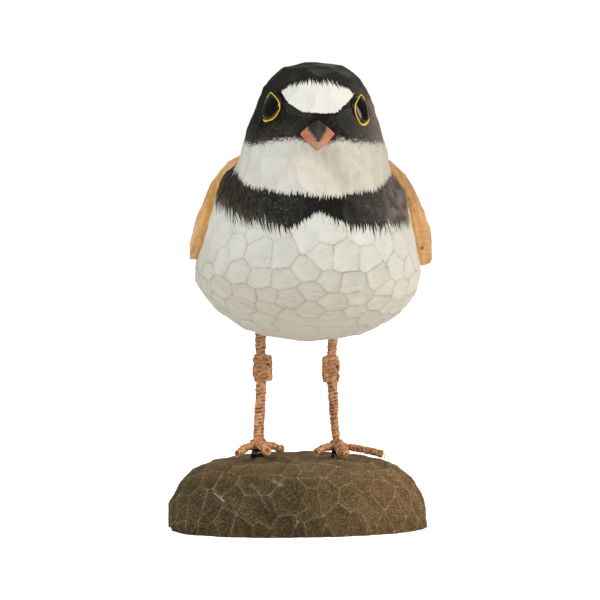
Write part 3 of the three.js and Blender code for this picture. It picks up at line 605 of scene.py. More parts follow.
def bird_material():
    g = Graph("painted_bird")
    P = g.mm()
    x, y, z = g.xyz(P)
    ridge, crest = g.attr("ridge"), g.attr("crest")
    upper, lower, mask = g.attr("upper"), g.attr("lower"), g.attr("mask")
    patch_up, patch_low = g.attr("patch_up"), g.attr("patch_low")
    arc, wing, edge, back = g.attr("arc"), g.attr("wing"), g.attr("wing_edge"), g.attr("back")
    skin = g.attr("wing_skin")
    bill, across, bup, blong = g.attr("bill"), g.attr("bill_across"), g.attr("bill_up"), g.attr("bill_long")
    big = g.noise(P, 0.045, 2)
    mid = g.noise(P, 0.22, 3)
    fine = g.noise(P, 1.6, 3, 0.6)
    grain = g.noise(P, 5.0, 2, 0.6)
    slant = g.noise(g.vec((x + z) * 0.16, y * 0.22, (x - z) * 1.5), 1.0, 3, 0.6)
    slant2 = g.noise(g.vec((x - z) * 0.12, y * 0.25, (x + z) * 1.1), 1.0, 3, 0.6)

    # off-white paint, with painted shade that darkens it low down on the belly
    shade_low_down = g.step(z, 98, 66)
    white = g.mix(g.step(big, 0.35, 0.65), srgb(226, 228, 222), srgb(218, 221, 215))
    white = g.mix(shade_low_down * 0.7, white, srgb(212, 204, 184))
    white = g.mix(g.step(mid, 0.42, 0.72) * 0.4, white, srgb(208, 205, 190))
    white = g.mix(g.step(slant, 0.5, 0.72) * 0.22, white, srgb(200, 196, 180))
    white = g.mix(g.step(slant2, 0.54, 0.74) * 0.2, white, srgb(238, 239, 234))
    rake = g.noise(g.vec((x * 0.5 - z) * 2.2, y * 0.3, (x + z * 0.5) * 0.22), 1.0, 2, 0.6)
    white = g.mix(g.step(rake, 0.56, 0.68) * g.step(mid, 0.4, 0.62) * g.step(z, 108, 76, 0.08, 0.3), white, srgb(180, 170, 146))
    grit = g.noise(P, 2.6, 2, 0.6)
    white = g.mix(g.step(grit, 0.55, 0.7) * 0.22, white, srgb(190, 184, 166))
    # the throat is greyer with painted shade under the head, more so on the viewer's right, with fine brown marks
    # under the mask
    white = g.dim(g.step(z, 103, 110) * g.step(arc, -16, 18, 0.2, 1.0), white, srgb(238, 231, 221))
    nick = g.noise(g.vec((x + z * 1.4) * 0.5, y * 0.4, (z - x * 0.35) * 2.6), 1.0, 2, 0.6)
    white = g.mix(g.step(nick, 0.6, 0.7) * g.step(mask, -7.0, -0.5) * g.step(z, 108, 113) * 0.6, white, srgb(142, 128, 104))
    # --- worn ridges: bare wood shows as a fine line
    line_w = g.step(fine, 0.3, 0.7, 0.13, 0.36)
    patchy = g.noise(P, 0.16, 2, 0.6)
    line = g.step(ridge, line_w, line_w * 0.3) * g.step(mid, 0.34, 0.6, 0.45, 1.0) * crest
    line = line * g.step(patchy, 0.36, 0.62, 0.55, 1.0)
    pale = g.step(ridge, 0.7, 0.2) * g.step(slant2, 0.42, 0.6)
    halo = g.step(ridge, 1.1, 0.1) * g.step(z, 108, 78, 0.1, 0.34)
    white = g.mix(pale * 0.3, white, srgb(240, 240, 234))
    white = g.dim(halo, white, srgb(224, 212, 188))
    line_tint = g.mix(g.step(patchy, 0.62, 0.7), srgb(156, 134, 102), srgb(168, 96, 66))
    white = g.mix(line * g.step(z, 112, 84, 0.32, 0.82), white, line_tint)
    # the growth lines of the wood, faint arcs through the thin paint
    ringed = g.math("SQRT", (x - 9.0) * (x - 9.0) + (z - 128.0) * (z - 128.0)) + (mid - 0.5) * 2.6
    d0, r0 = g.hair(ringed * 1.15)
    white = g.mix(g.step(d0, 0.3, 0.48) * g.step(z, 94, 74) * g.step(slant2, 0.42, 0.6) * 0.3, white, srgb(176, 164, 138))

    # --- black paint
    streak = g.noise(g.vec(arc * 1.3, z * 0.22, x * 0.05), 1.0, 3, 0.65)
    black = g.mix(g.step(mid, 0.4, 0.7), srgb(13, 14, 13), srgb(26, 26, 23))
    black = g.mix(g.step(slant, 0.5, 0.72) * 0.5, black, srgb(58, 56, 48))
    # painted sheen: the black paint turns lighter and greyer towards the viewer's right
    painted_sheen_right = g.step(arc, 8, 30) * g.step(arc, 66, 46)
    black = g.mix(painted_sheen_right * 0.85, black, g.mix(g.step(mid, 0.38, 0.6), srgb(134, 122, 113), srgb(84, 75, 71)))
    glint = g.noise(g.vec(arc * 1.1, y * 0.2, z * 2.6), 1.0, 2, 0.7)
    black = g.mix(g.step(glint, 0.6, 0.7) * g.step(mask, 6.0, 0.5) * 0.6, black, srgb(140, 134, 114))
    black_band = g.mix(g.step(arc, -8, -28) * g.step(streak, 0.4, 0.62) * 0.8, black, srgb(66, 60, 46))
    nap = g.noise(g.vec((arc + (z - 102.0) * 0.35) * 3.2, z * 0.5, 0.0), 1.0, 2, 0.7)
    black_band = g.mix(g.step(nap, 0.52, 0.68) * 0.45, black_band, srgb(74, 70, 60))
    flecks = g.step(g.noise(g.vec(arc * 2.4, z * 0.9, 0.0), 1.0, 2, 0.7), 0.67, 0.72)
    black_band = g.mix(flecks * g.step(mid, 0.45, 0.6) * 0.5, black_band, srgb(176, 170, 152))
    black_band = g.mix(g.step(g.math("ABSOLUTE", arc - 2.0), 13, 5) * 0.75, black_band, srgb(11, 12, 11))

    # --- band: spiky strokes up into the throat and longer ones down over the belly
    lean = g.step(arc, -30, 4, 0.62, 0.0) - g.step(arc, 4, 30, 0.0, 0.12)
    slope = arc + (z - 102.0) * lean
    far = g.step(g.math("ABSOLUTE", arc + 2.0), 3, 12, 0.62, 1.0)
    strokes = None
    for pitch, short, long_by, shift in ((1.0, 1.4, 4.6, 0.0), (1.7, 1.2, 3.6, 31.7), (2.6, 1.0, 3.2, 11.2), (3.6, 0.8, 2.6, 71.9)):
        d, r = g.hair(slope * pitch + shift)
        one = g.math("GREATER_THAN", (1.0 - d * 2.3) * (short + r * long_by) * far, 2.9 - lower)
        strokes = one if strokes is None else g.math("MAXIMUM", strokes, one)
    ups = None
    for pitch, short, long_by, shift in ((1.15, 0.9, 1.7, 5.3), (1.9, 0.7, 1.6, 17.1), (2.9, 0.5, 1.3, 43.7)):
        d, r = g.hair((arc - z * 0.1) * pitch + shift)
        one = g.math("GREATER_THAN", (1.0 - d * 2.3) * (short + r * long_by), upper + 1.0)
        ups = one if ups is None else g.math("MAXIMUM", ups, one)
    band = strokes * ups
    # a few hairs stand apart from the rest
    d, r = g.hair(slope * 2.1 + 3.7)
    lone = g.step(d, 0.14, 0.05) * g.math("GREATER_THAN", r, 0.6) * g.math("GREATER_THAN", lower + 0.4 + r, 0.0)
    band = g.math("MAXIMUM", band, lone * g.math("LESS_THAN", upper, 0.0) * far * 0.7)
    # thin olive paint low on the viewer's left cheek
    cheek = g.step(arc, -6, -16) * g.step(mask, 7.0, 1.5) * g.step(dry_fine(g, P), 0.42, 0.6)
    # pale paint shows between the hairs on the viewer's left
    d, r = g.hair(slope * 2.3 + 61.0)
    between = g.step(d, 0.36, 0.48) * g.math("GREATER_THAN", r, 0.35) * g.step(arc, -7, -22) * g.step(lower, 5.5, 1.0)
    black_band = g.mix(between * 0.6, black_band, srgb(158, 152, 132))
    # --- mask: the dark cap, dry-brushed along its lower edge
    dry = g.noise(g.vec(arc * 0.9, y * 0.05, z * 2.2), 1.0, 3, 0.7)
    soft = mask + (dry - 0.5) * 5.0 + (fine - 0.5) * 1.6
    cap = g.step(soft, -0.9, 1.1)
    # --- forehead patch, white spikes along its top
    spikes = None
    for pitch, short, long_by, shift in ((1.0, 1.0, 1.7, 3.1), (1.8, 0.7, 1.4, 41.0)):
        d, r = g.hair((arc + z * 0.06) * pitch + shift)
        one = g.math("GREATER_THAN", (1.0 - d * 2.2) * (short + r * long_by), 1.1 - patch_up)
        spikes = one if spikes is None else g.math("MAXIMUM", spikes, one)
    d, r = g.hair(arc * 1.7 + 9.0)
    patch = spikes * g.math("GREATER_THAN", patch_low + (fine - 0.5) * 1.2 - d * 0.5, 0.0)

    # painted shade: the top of the crown, which faces the key lamp, is held near black
    crown = g.mix(g.step(z, 136, 144) * 0.75, black, srgb(30, 30, 25))
    crown = g.mix(cheek * 0.5, crown, srgb(88, 82, 60))
    # painted sheen on the viewer's right of the mask, below the crown
    crown = g.mix(painted_sheen_right * g.step(z, 142, 132) * g.step(mid, 0.4, 0.62, 0.15, 0.6), crown, srgb(146, 134, 124))
    crown = g.mix(g.step(y + (mid - 0.5) * 14, -24, -6), crown, srgb(104, 84, 60))
    crown = g.mix(g.step(slant2, 0.5, 0.7) * 0.3, crown, srgb(60, 58, 48))
    dust = g.step(g.noise(P, 3.2, 2, 0.7), 0.60, 0.70)
    crown = g.mix(dust * g.step(mid, 0.4, 0.62) * 0.75, crown, srgb(104, 98, 78))
    worn = g.step(ridge, 0.3, 0.05) * crest * g.step(fine, 0.45, 0.62)
    crown = g.mix(worn * 0.25, crown, srgb(96, 90, 76))
    black_band = g.mix(worn * 0.2, black_band, srgb(120, 112, 98))

    # --- wings and back, long strokes of tan
    a = y * 0.93 - z * 0.36
    c = z * 0.93 + y * 0.36
    along_rim = g.noise(g.vec((g.math("ABSOLUTE", x) + z * 0.3) * 0.9, y * 0.2, z * 0.07), 1.0, 3, 0.6)
    streaky = g.noise(g.vec(a * 0.09, x * 0.06, c * 1.15), 1.0, 4, 0.65)
    front = g.step(y, 6, -8)
    long = streaky * (1.0 - front) + along_rim * front
    long2 = g.noise(g.vec(a * 0.05, x * 0.05, c * 0.5), 1.0, 3, 0.6)
    tan = g.mix(g.step(long, 0.38, 0.66), srgb(222, 174, 126), srgb(204, 152, 100))
    tan = g.mix(g.step(long2, 0.4, 0.65) * 0.5, tan, srgb(226, 184, 142))
    tan = g.mix(front * 0.75, tan, g.mix(g.step(long, 0.38, 0.62), srgb(250, 202, 150), srgb(232, 176, 120)))
    inner = g.step(skin + (mid - 0.5) * 1.6, 1.7, 0.5)
    gold = inner * g.step(z, 118, 104, 0.2, 1.0) * front
    tan = g.mix(gold * 0.9, tan, g.mix(g.step(long, 0.35, 0.7), srgb(222, 178, 92), srgb(192, 144, 72)))
    knot = g.step(g.math("SQRT", (x - 37.6) * (x - 37.6) + (z - 91.4) * (z - 91.4)), 0.8, 0.35) * front
    tan = g.mix(knot * 0.8, tan, srgb(128, 74, 40))
    aft = g.step(y + (long2 - 0.5) * 30, 18, 62)
    tan = g.mix(aft * 0.8, tan, srgb(118, 90, 62))
    d9, r9 = g.hair(c * 0.32 + (long2 - 0.5) * 0.4)
    quill = g.step(d9, 0.40, 0.49) * g.step(y, 12, 34)
    tan = g.mix(quill * 0.6, tan, srgb(70, 54, 40))
    tan = g.mix(g.step(y + z * 0.4, 98, 116) * 0.7, tan, srgb(62, 52, 42))
    tan = g.dim(halo, tan, srgb(214, 190, 150))
    tan = g.mix(worn * 0.5, tan, srgb(206, 170, 122))
    mantle = g.mix(g.step(long, 0.35, 0.65), srgb(148, 114, 80), srgb(120, 92, 64))
    mantle = g.mix(g.step(y, 50, 84) * 0.7, mantle, srgb(70, 58, 46))
    mantle = g.mix(worn * 0.5, mantle, srgb(178, 148, 110))

    colour = white
    colour = g.mix(band, colour, black_band)
    colour = g.mix(cap, colour, crown)
    cap_white = g.mix(g.step(slant, 0.5, 0.72) * 0.3, srgb(234, 235, 227), srgb(214, 212, 200))
    colour = g.mix(patch * g.step(mask, 2.0, 3.0), colour, cap_white)
    under_band = g.math("LESS_THAN", lower, 0.5 + (long - 0.5) * 3.0)
    on_back = g.math("GREATER_THAN", back + (mid - 0.5) * 2.0, 0.0) * under_band * g.math("LESS_THAN", mask, 0.0)
    colour = g.mix(on_back, colour, mantle)
    on_wing = g.math("GREATER_THAN", wing, front * -0.5 - 0.12)
    colour = g.mix(on_wing, colour, tan)
    # the square end of the tail is dark as well
    colour = g.mix(g.step(y + (mid - 0.5) * 2.0, 85, 88), colour, g.mix(g.step(long2, 0.4, 0.6), srgb(64, 54, 44), srgb(50, 43, 36)))

    # --- bill: a dark ridge on salmon sides, pinker along its edges
    bn = g.noise(g.vec(x * 1.6, y * 0.5, z * 1.4), 1.0, 3, 0.7)
    salmon = g.mix(g.step(bn, 0.35, 0.68), srgb(216, 164, 130), srgb(190, 138, 104))
    edge_pink = g.step(across / g.step(blong, 15.5, -1.0, 0.12, 1.0), 2.9, 4.4)
    salmon = g.mix(edge_pink * g.step(fine, 0.3, 0.6, 0.35, 0.8), salmon, srgb(216, 120, 92))
    salmon = g.mix(g.step(bup, -0.6, -2.6) * 0.5, salmon, srgb(212, 160, 128))
    salmon = g.mix(g.step(bn, 0.6, 0.72) * 0.4, salmon, srgb(140, 92, 66))
    half = g.step(blong, 17.5, -0.5, 0.35, 2.75) + (bn - 0.5) * 1.5
    salmon = g.mix(g.step(across - half, 1.0, 0.0) * g.step(bup, -0.9, 0.1) * 0.6, salmon, srgb(150, 128, 100))
    dark = g.step(across - half, 0.5, -0.35) * g.math("GREATER_THAN", bup, -0.4)
    billc = g.mix(dark, salmon, g.mix(g.step(fine, 0.4, 0.65), srgb(42, 42, 36), srgb(78, 74, 62)))
    dot = g.step(g.noise(P, 2.3, 1, 0.5), 0.70, 0.76) * dark
    billc = g.mix(dot * 0.8, billc, srgb(188, 168, 138))
    on_bill = g.step(bill + (fine - 0.5) * 0.5, -0.1, 0.12)
    colour = g.mix(on_bill, colour, billc)
    rim = g.step(bill, -2.6, -0.3) * (1.0 - on_bill) * g.step(z, 124.3, 126.2)
    colour = g.mix(rim * 0.85, colour, srgb(14, 14, 13))

    # a little dirt in the grain
    colour = g.dim(g.step(grain, 0.58, 0.75) * 0.22, colour, srgb(200, 186, 160))

    dark_paint = g.math("MAXIMUM", band, cap)
    rough = g.step(mid, 0.3, 0.7, 0.42, 0.62) - dark_paint * 0.06 + cap * g.step(z, 134, 142) * 0.2 + grain * 0.08
    height = slant * 0.55 + slant2 * 0.4 + rake * 0.3 + grain * 0.25 + long * on_wing * 0.6 + (streak * 0.4 + mid * 0.9) * dark_paint
    normal = g.bump(height, 0.2, 0.9)
    return g.done(colour, rough, normal, Specular_IOR_Level=0.2)


bird.data.materials.append(bird_material())


# ------------------------------------------------------------------ the eyes
# The painted line round each bead, from its top: millimetres along the head towards
# the bill and up from the bead, how thick it is, and how far its yellow is worn off.
EYE_RIMS = {
    "glass_eye_left": [
        (-3.9, 5.1, 0.20, 0.1), (-4.9, 3.9, 0.19, 0.2), (-4.85, 2.4, 0.10, 1), (-4.6, 0.85, 0.09, 1),
        (-4.15, -0.7, 0.10, 1), (-3.85, -1.9, 0.16, 0.5), (-3.25, -3.2, 0.30, 0), (-2.3, -4.2, 0.38, 0),
        (-1.0, -4.75, 0.42, 0), (0.5, -4.65, 0.36, 0), (1.9, -4.2, 0.27, 0), (2.9, -3.4, 0.25, 0),
        (3.5, -2.5, 0.23, 0), (3.9, -1.4, 0.22, 0), (3.95, -0.5, 0.21, 0), (3.6, 0.6, 0.19, 0.1),
        (2.8, 1.55, 0.18, 0.35), (1.6, 2.5, 0.16, 0.3), (0.2, 3.3, 0.17, 0.1), (-1.2, 3.95, 0.19, 0),
        (-2.6, 4.6, 0.21, 0),
    ],
    "glass_eye_right": [
        (-3.05, 5.0, 0.22, 0), (-1.2, 4.25, 0.20, 0), (0.73, 3.2, 0.18, 0.1), (2.3, 1.95, 0.19, 0),
        (3.3, 0.7, 0.21, 0), (3.65, -0.56, 0.21, 0), (3.55, -1.8, 0.19, 0.25), (3.1, -2.85, 0.19, 0.4),
        (2.55, -3.9, 0.20, 0.3), (2.0, -4.7, 0.26, 0.1), (1.1, -5.05, 0.34, 0), (-0.2, -4.75, 0.38, 0),
        (-1.35, -4.1, 0.34, 0), (-1.95, -3.2, 0.20, 0.5), (-1.9, -2.0, 0.11, 1), (-2.0, -0.7, 0.10, 1),
        (-2.5, 0.7, 0.10, 1), (-3.2, 2.2, 0.12, 0.9), (-3.85, 3.6, 0.16, 0.4), (-3.8, 4.6, 0.20, 0.1),
    ],
}


def closed_curve(points, n):
    p = np.array(points, float)
    k = len(p)
    out = []
    for i in range(n):
        s = i * k / n
        j = int(s)
        u = s - j
        a, b, c, d = (p[(j + m) % k] for m in (-1, 0, 1, 2))
        out.append(0.5 * (2 * b + (c - a) * u + (2 * a - 5 * b + 4 * c - d) * u * u + (3 * b - a - 3 * c + d) * u**3))
    return np.array(out)


def eye_material():
    g = Graph("dark_glass_eye")
    r = g.attr("out")
    low = g.attr("low")
    lid = g.attr("lid")
    P = g.mm()
    swirl = g.noise(P, 0.9, 3, 0.6)
    iris = g.mix(g.step(r, 0.52, 0.66), srgb(5, 4, 4), srgb(19, 12, 9))
    iris = g.mix(g.step(swirl, 0.56, 0.7) * g.step(r, 0.25, 0.7) * 0.7, iris, srgb(58, 28, 16))
    iris = g.mix(g.step(lid, -1.0, -0.15) * g.step(low, -0.1, -0.6) * 0.8, iris, srgb(112, 66, 26))
    covered = g.step(lid, -0.1, 0.05)
    iris = g.mix(covered, iris, srgb(17, 17, 16))
    rough = g.step(swirl, 0.35, 0.7, 0.05, 0.16) * (1.0 - covered) + covered * 0.5
    return g.done(iris, rough, g.bump(swirl, 0.05, 0.5), Coat_Weight=0.2, Coat_Roughness=0.03, Specular_IOR_Level=0.3)


def rim_material():
    g = Graph("yellow_eye_line")
    P = g.mm()
    worn = g.attr("worn")
    n = g.noise(P, 1.4, 3, 0.6)
    colour = g.mix(g.step(n, 0.3, 0.7), srgb(240, 218, 28), srgb(222, 184, 24))
    colour = g.mix(g.step(worn + (n - 0.5) * 0.9, 0.4, 0.65), colour, srgb(128, 126, 116))
    return g.done(colour, 0.45, g.bump(n, 0.1, 0.6))


eye_mat, rim_mat = eye_material(), rim_material()
for name in EYES:
    centre, side_dir, up_dir, out_dir = eye_frame(name)
    toward = side_dir if (side_dir @ np.array([0, -1, 0])) > 0 else -side_dir
    # the bead: a low lens in front, and the round of the bead behind it
    rings, seg = 44, 64
    pts, tris, outs, lows = [], [], [], []
    for i in range(rings + 1):
        a = math.pi * i / rings
        reach, out = math.sin(a), math.cos(a)
        rise = 1.75 - 0.4 + (1.25 if out > 0 else 3.2) * out
        for j in range(seg):
            b = 2 * math.pi * j / seg
            pts.append(
                centre + side_dir * reach * math.cos(b) * 4.0 + up_dir * reach * math.sin(b) * 4.38 + out_dir * rise
            )
            outs.append(reach if out > 0 else 1)
            lows.append(reach * math.sin(b))
    for i in range(rings):
        for j in range(seg):
            a, b = i * seg + j, i * seg + (j + 1) % seg
            tris.append((a, a + seg, b + seg, b))
    # how far outside its painted line each place of the bead is, millimetres
    pts = np.array(pts)
    loop = closed_curve(EYE_RIMS[name], 132)
    flat = np.stack([(pts - centre) @ toward, (pts - centre) @ up_dir], 1)
    p0, p1 = loop[:, :2], np.roll(loop[:, :2], -1, axis=0)
    rel = flat[:, None] - p0[None]
    d = p1 - p0
    u = np.clip((rel * d).sum(2) / (d * d).sum(1), 0, 1)
    gap = np.linalg.norm(rel - u[..., None] * d, axis=2).min(axis=1)
    y0, y1 = p0[:, 1][None], p1[:, 1][None]
    spans = (y0 > flat[:, 1:2]) != (y1 > flat[:, 1:2])
    cut = p0[:, 0] + (flat[:, 1:2] - y0) * d[:, 0] / np.where(d[:, 1] == 0, 1e-9, d[:, 1])
    inside = (spans & (flat[:, 0:1] < cut)).sum(axis=1) % 2 == 1
    lids = np.where(inside, -gap, gap)
    ob = make(
        "bead_" + name, pts, tris, replaces=(name,), attrs={"out": outs, "low": lows, "lid": lids}
    )
    ob.data.validate()
    ob.data.materials.append(eye_mat)
    # the painted rim, a thin raised line
    skin_at = centre + out_dir * 1.75
    line = loop[:, :3].copy()
    width = np.maximum(loop[:, 2], 0.08) * (1 + 0.1 * np.sin(np.arange(132) * 1.7))
    worn = loop[:, 3]
    for i, (a, b) in enumerate(loop[:, :2]):
        start = Vector(skin_at + toward * a + up_dir * b + out_dir * 6)
        hit, _, _, dist = bird_tree.ray_cast(start, Vector(-out_dir))
        in_socket = (a / 4.75) ** 2 + (b / 5.15) ** 2 < 1
        line[i, 2] = np.nan if hit is None or in_socket or dist > 10 else 6 - dist
        q = 1 - (a / 4.0) ** 2 - (b / 4.38) ** 2
        if q > 0:
            line[i, 2] = 1.25 * math.sqrt(q) - 0.4
    known = np.flatnonzero(~np.isnan(line[:, 2]))
    if len(known):
        line[:, 2] = np.interp(np.arange(132), known, line[known, 2], period=132)
    else:
        line[:, 2] = -0.3
    for _ in range(5):
        line[:, 2] = (np.roll(line[:, 2], 1) + 2 * line[:, 2] + np.roll(line[:, 2], -1)) / 4
    line[:, 2] += 0.02
    pts, tris, wears = [], [], []
    seg = 10
    n = len(line)
    for i in range(n):
        tan2 = line[(i + 1) % n] - line[i - 1]
        tan2 /= np.linalg.norm(tan2)
        flat = np.cross(tan2, [0, 0, 1])
        flat /= np.linalg.norm(flat)
        for j in range(seg):
            b = 2 * math.pi * j / seg
            q = line[i] + flat * math.cos(b) * width[i] + np.array([0, 0, 1]) * math.sin(b) * width[i] * 0.7
            pts.append(skin_at + toward * q[0] + up_dir * q[1] + out_dir * q[2])
            wears.append(worn[i])
    flip = np.cross(toward, up_dir) @ out_dir < 0
    for i in range(n):
        for j in range(seg):
            a, b = i * seg + j, i * seg + (j + 1) % seg
            c, d = ((i + 1) % n) * seg + (j + 1) % seg, ((i + 1) % n) * seg + j
            tris.append((a, d, c, b) if flip else (a, b, c, d))
    ob = make("rim_" + name, np.array(pts), tris, attrs={"worn": wears})
    ob.data.materials.append(rim_mat)


# ------------------------------------------------------------------ the base
v, t = cad_mesh("carved_stone_base")
ridge_e, ridge_s, ridge_a = ridges_of(v, t, 7.0)
carved = v[ridge_e].max(axis=1)[:, 2] > 0.05
ridge_e, ridge_s, ridge_a = ridge_e[carved], ridge_s[carved], ridge_a[carved]
samples, who = along(v, ridge_e)
v, t = refine(v, t, lambda p: np.where(p[:, 2] < 0.05, 2.6, 0.85 + 0.25 * smoothstep(5, 20, p[:, 1])))
ridge, nearest = distance_to(v, samples)
normal = vertex_normals(v, t)
angle = ridge_a[who[nearest]]
stands = ridge_s[who[nearest]]
on_floor = v[:, 2] < 0.05
above = smoothstep(0.0, 3.0, v[:, 2])
wall = 1 - np.abs(normal[:, 2])
depth = (1.05 + 0.2 * (1 - wall)) * (1 + 0.6 * speckle(v, 8, 5))
scoop = 1 - (1 - np.clip(ridge / 3.0, 0, 1)) ** 2
normal[on_floor, 2] = 0
move = wobble(v, 3.0, 0.32, 2) - normal * (depth * scoop)[:, None]
move = move + normal * (speckle(v, 0.9, 4) * 0.06 + speckle(v, 2.6, 6) * 0.1)[:, None]
move[:, 2] *= above
v = np.clip(v + move, *(np.array(q) * 1000 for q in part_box("carved_stone_base")))


def sharp_base(ends):
    return ((ridge[ends[:, 0]] < 0.02) & (ridge[ends[:, 1]] < 0.02)) | (v[ends[:, 0], 2] + v[ends[:, 1], 2] < 0.05)


base = make(
    "stone_carving", v, t, replaces=("carved_stone_base",),
    attrs={"ridge": ridge, "crest": np.where(stands > 0, 1.0, 0.0) * smoothstep(6, 14, angle)}, sharp=sharp_base,
)


def base_material():
    g = Graph("stained_base")
    P = g.mm()
    x, y, z = g.xyz(P)
    ridge, crest = g.attr("ridge"), g.attr("crest")
    big = g.noise(P, 0.05, 2)
    mid = g.noise(P, 0.3, 4, 0.6)
    fine = g.noise(P, 1.9, 3, 0.65)
    dots = g.noise(P, 2.3, 2, 0.7)
    up = g.step(z, 14, 23)
    right = g.step(x, -10, 38)
    brown = g.mix(g.step(big + (mid - 0.5) * 0.4, 0.35, 0.65), srgb(57, 48, 28), srgb(73, 61, 36))
    brown = g.mix(right * 0.7, brown, srgb(138, 102, 62))
    brown = g.mix(up * 0.6, brown, srgb(140, 116, 82))
    tone = g.noise(P, 0.13, 2, 0.5)
    brown = g.dim(g.step(tone, 0.55, 0.35) * 0.5, brown, srgb(196, 190, 178))
    brown = g.mix(g.step(dots, 0.44, 0.62) * 0.6, brown, srgb(54, 43, 25))
    brown = g.mix(g.step(fine, 0.52, 0.68) * 0.38, brown, srgb(138, 120, 82))
    pin = g.noise(P, 3.6, 1, 0.5)
    brown = g.mix(g.step(pin, 0.58, 0.66) * (right * 0.2 + 0.45), brown, g.mix(right, srgb(164, 146, 106), srgb(190, 160, 116)))
    brown = g.mix(g.step(pin, 0.43, 0.36) * 0.7, brown, srgb(44, 35, 20))
    # fine crossed marks of the tool
    h1 = g.noise(g.vec((x + z) * 0.25, y * 0.3, (x - z) * 3.0), 1.0, 2, 0.6)
    h2 = g.noise(g.vec((x - z) * 0.25, y * 0.3, (x + z) * 3.0), 1.0, 2, 0.6)
    crossed = g.math("MAXIMUM", g.step(h1, 0.6, 0.72), g.step(h2, 0.62, 0.74)) * g.step(mid, 0.35, 0.6)
    brown = g.mix(crossed * 0.25, brown, srgb(150, 130, 92))
    for way, other, zone, shift in ((0.86, 0.5, 0.19, 3.0), (0.62, -0.78, 0.15, 57.0), (0.2, 0.98, 0.23, 91.0)):
        d, r = g.hair((x * way + z * other) * 1.9 + (mid - 0.5) * 0.5 + shift)
        here = g.step(g.noise(P + shift, zone, 1, 0.5), 0.5, 0.58)
        brown = g.mix(g.step(d, 0.28, 0.47) * here * g.step(fine, 0.35, 0.55) * g.step(right, 0.0, 1.0, 0.15, 0.5), brown, srgb(166, 142, 102))
    width = g.step(fine, 0.3, 0.7, 0.1, 0.26)
    line = g.step(ridge, width, width * 0.3) * crest * g.step(mid, 0.34, 0.6, 0.5, 1.0)
    halo = g.step(ridge, 1.3, 0.1) * crest
    brown = g.mix(halo * 0.14, brown, srgb(136, 116, 80))
    brown = g.mix(line * (right * 0.15 + 0.78), brown, g.mix(right, srgb(168, 150, 112), srgb(196, 166, 124)))
    brown = g.dim(g.step(z, 12, 2) * 0.8, brown, srgb(234, 232, 228))
    # an old scratch on the front, to bare wood
    sx, sz = x + 27.0, z - 12.4
    across = sx * 0.61 + sz * 0.79
    along_s = sx * 0.79 - sz * 0.61
    scratch = g.step(g.math("ABSOLUTE", across + (fine - 0.5) * 0.5), 0.22, 0.08) * g.step(g.math("ABSOLUTE", along_s), 2.2, 1.7) * g.step(y, -5, -10)
    brown = g.mix(scratch * 0.85, brown, srgb(206, 196, 176))
    tx, tz = x + 8.6, z - 17.0
    smudge = g.step(g.math("ABSOLUTE", tx * 0.42 + tz * 0.9 + (fine - 0.5) * 1.2), 0.7, 0.1) * g.step(g.math("ABSOLUTE", tx * 0.9 - tz * 0.42), 2.4, 1.2) * g.step(y, -4, -9)
    brown = g.mix(smudge * 0.45, brown, srgb(176, 166, 146))
    rough = g.step(mid, 0.3, 0.7, 0.6, 0.8)
    height = fine * 0.6 + dots * 0.4 + h1 * 0.3 + h2 * 0.25 + pin * 0.35
    return g.done(brown, rough, g.bump(height, 0.32, 0.9), Specular_IOR_Level=0.22)


base.data.materials.append(base_material())


# -------------------------------------------------------------- legs and feet
def spline(points, n):
    """n + 1 places evenly along a smooth line through the points."""
    p = [np.array(q, float) for q in points]
    p = [2 * p[0] - p[1]] + p + [2 * p[-1] - p[-2]]
    out = []
    for j in range(1, len(p) - 2):
        a, b, c, d = p[j - 1 : j + 3]
        for u in np.linspace(0, 1, 60, endpoint=False):
            out.append(0.5 * (2 * b + (c - a) * u + (2 * a - 5 * b + 4 * c - d) * u * u + (3 * b - a - 3 * c + d) * u**3))
    out.append(p[-2])
    out = np.array(out)
    s = np.concatenate([[0], np.cumsum(np.linalg.norm(np.diff(out, axis=0), axis=1))])
    at = np.linspace(0, s[-1], n + 1)
    return np.stack([np.interp(at, s, out[:, k]) for k in range(3)], 1), at


def frames(p):
    tan = np.gradient(p, axis=0)
    tan /= np.linalg.norm(tan, axis=1)[:, None]
    side = np.cross(tan[0], [0.3, 1, 0.1])
    side /= np.linalg.norm(side)
    out = []
    for k in tan:
        side = side - k * (side @ k)
        side /= np.linalg.norm(side)
        out.append((side.copy(), np.cross(k, side)))
    return tan, out


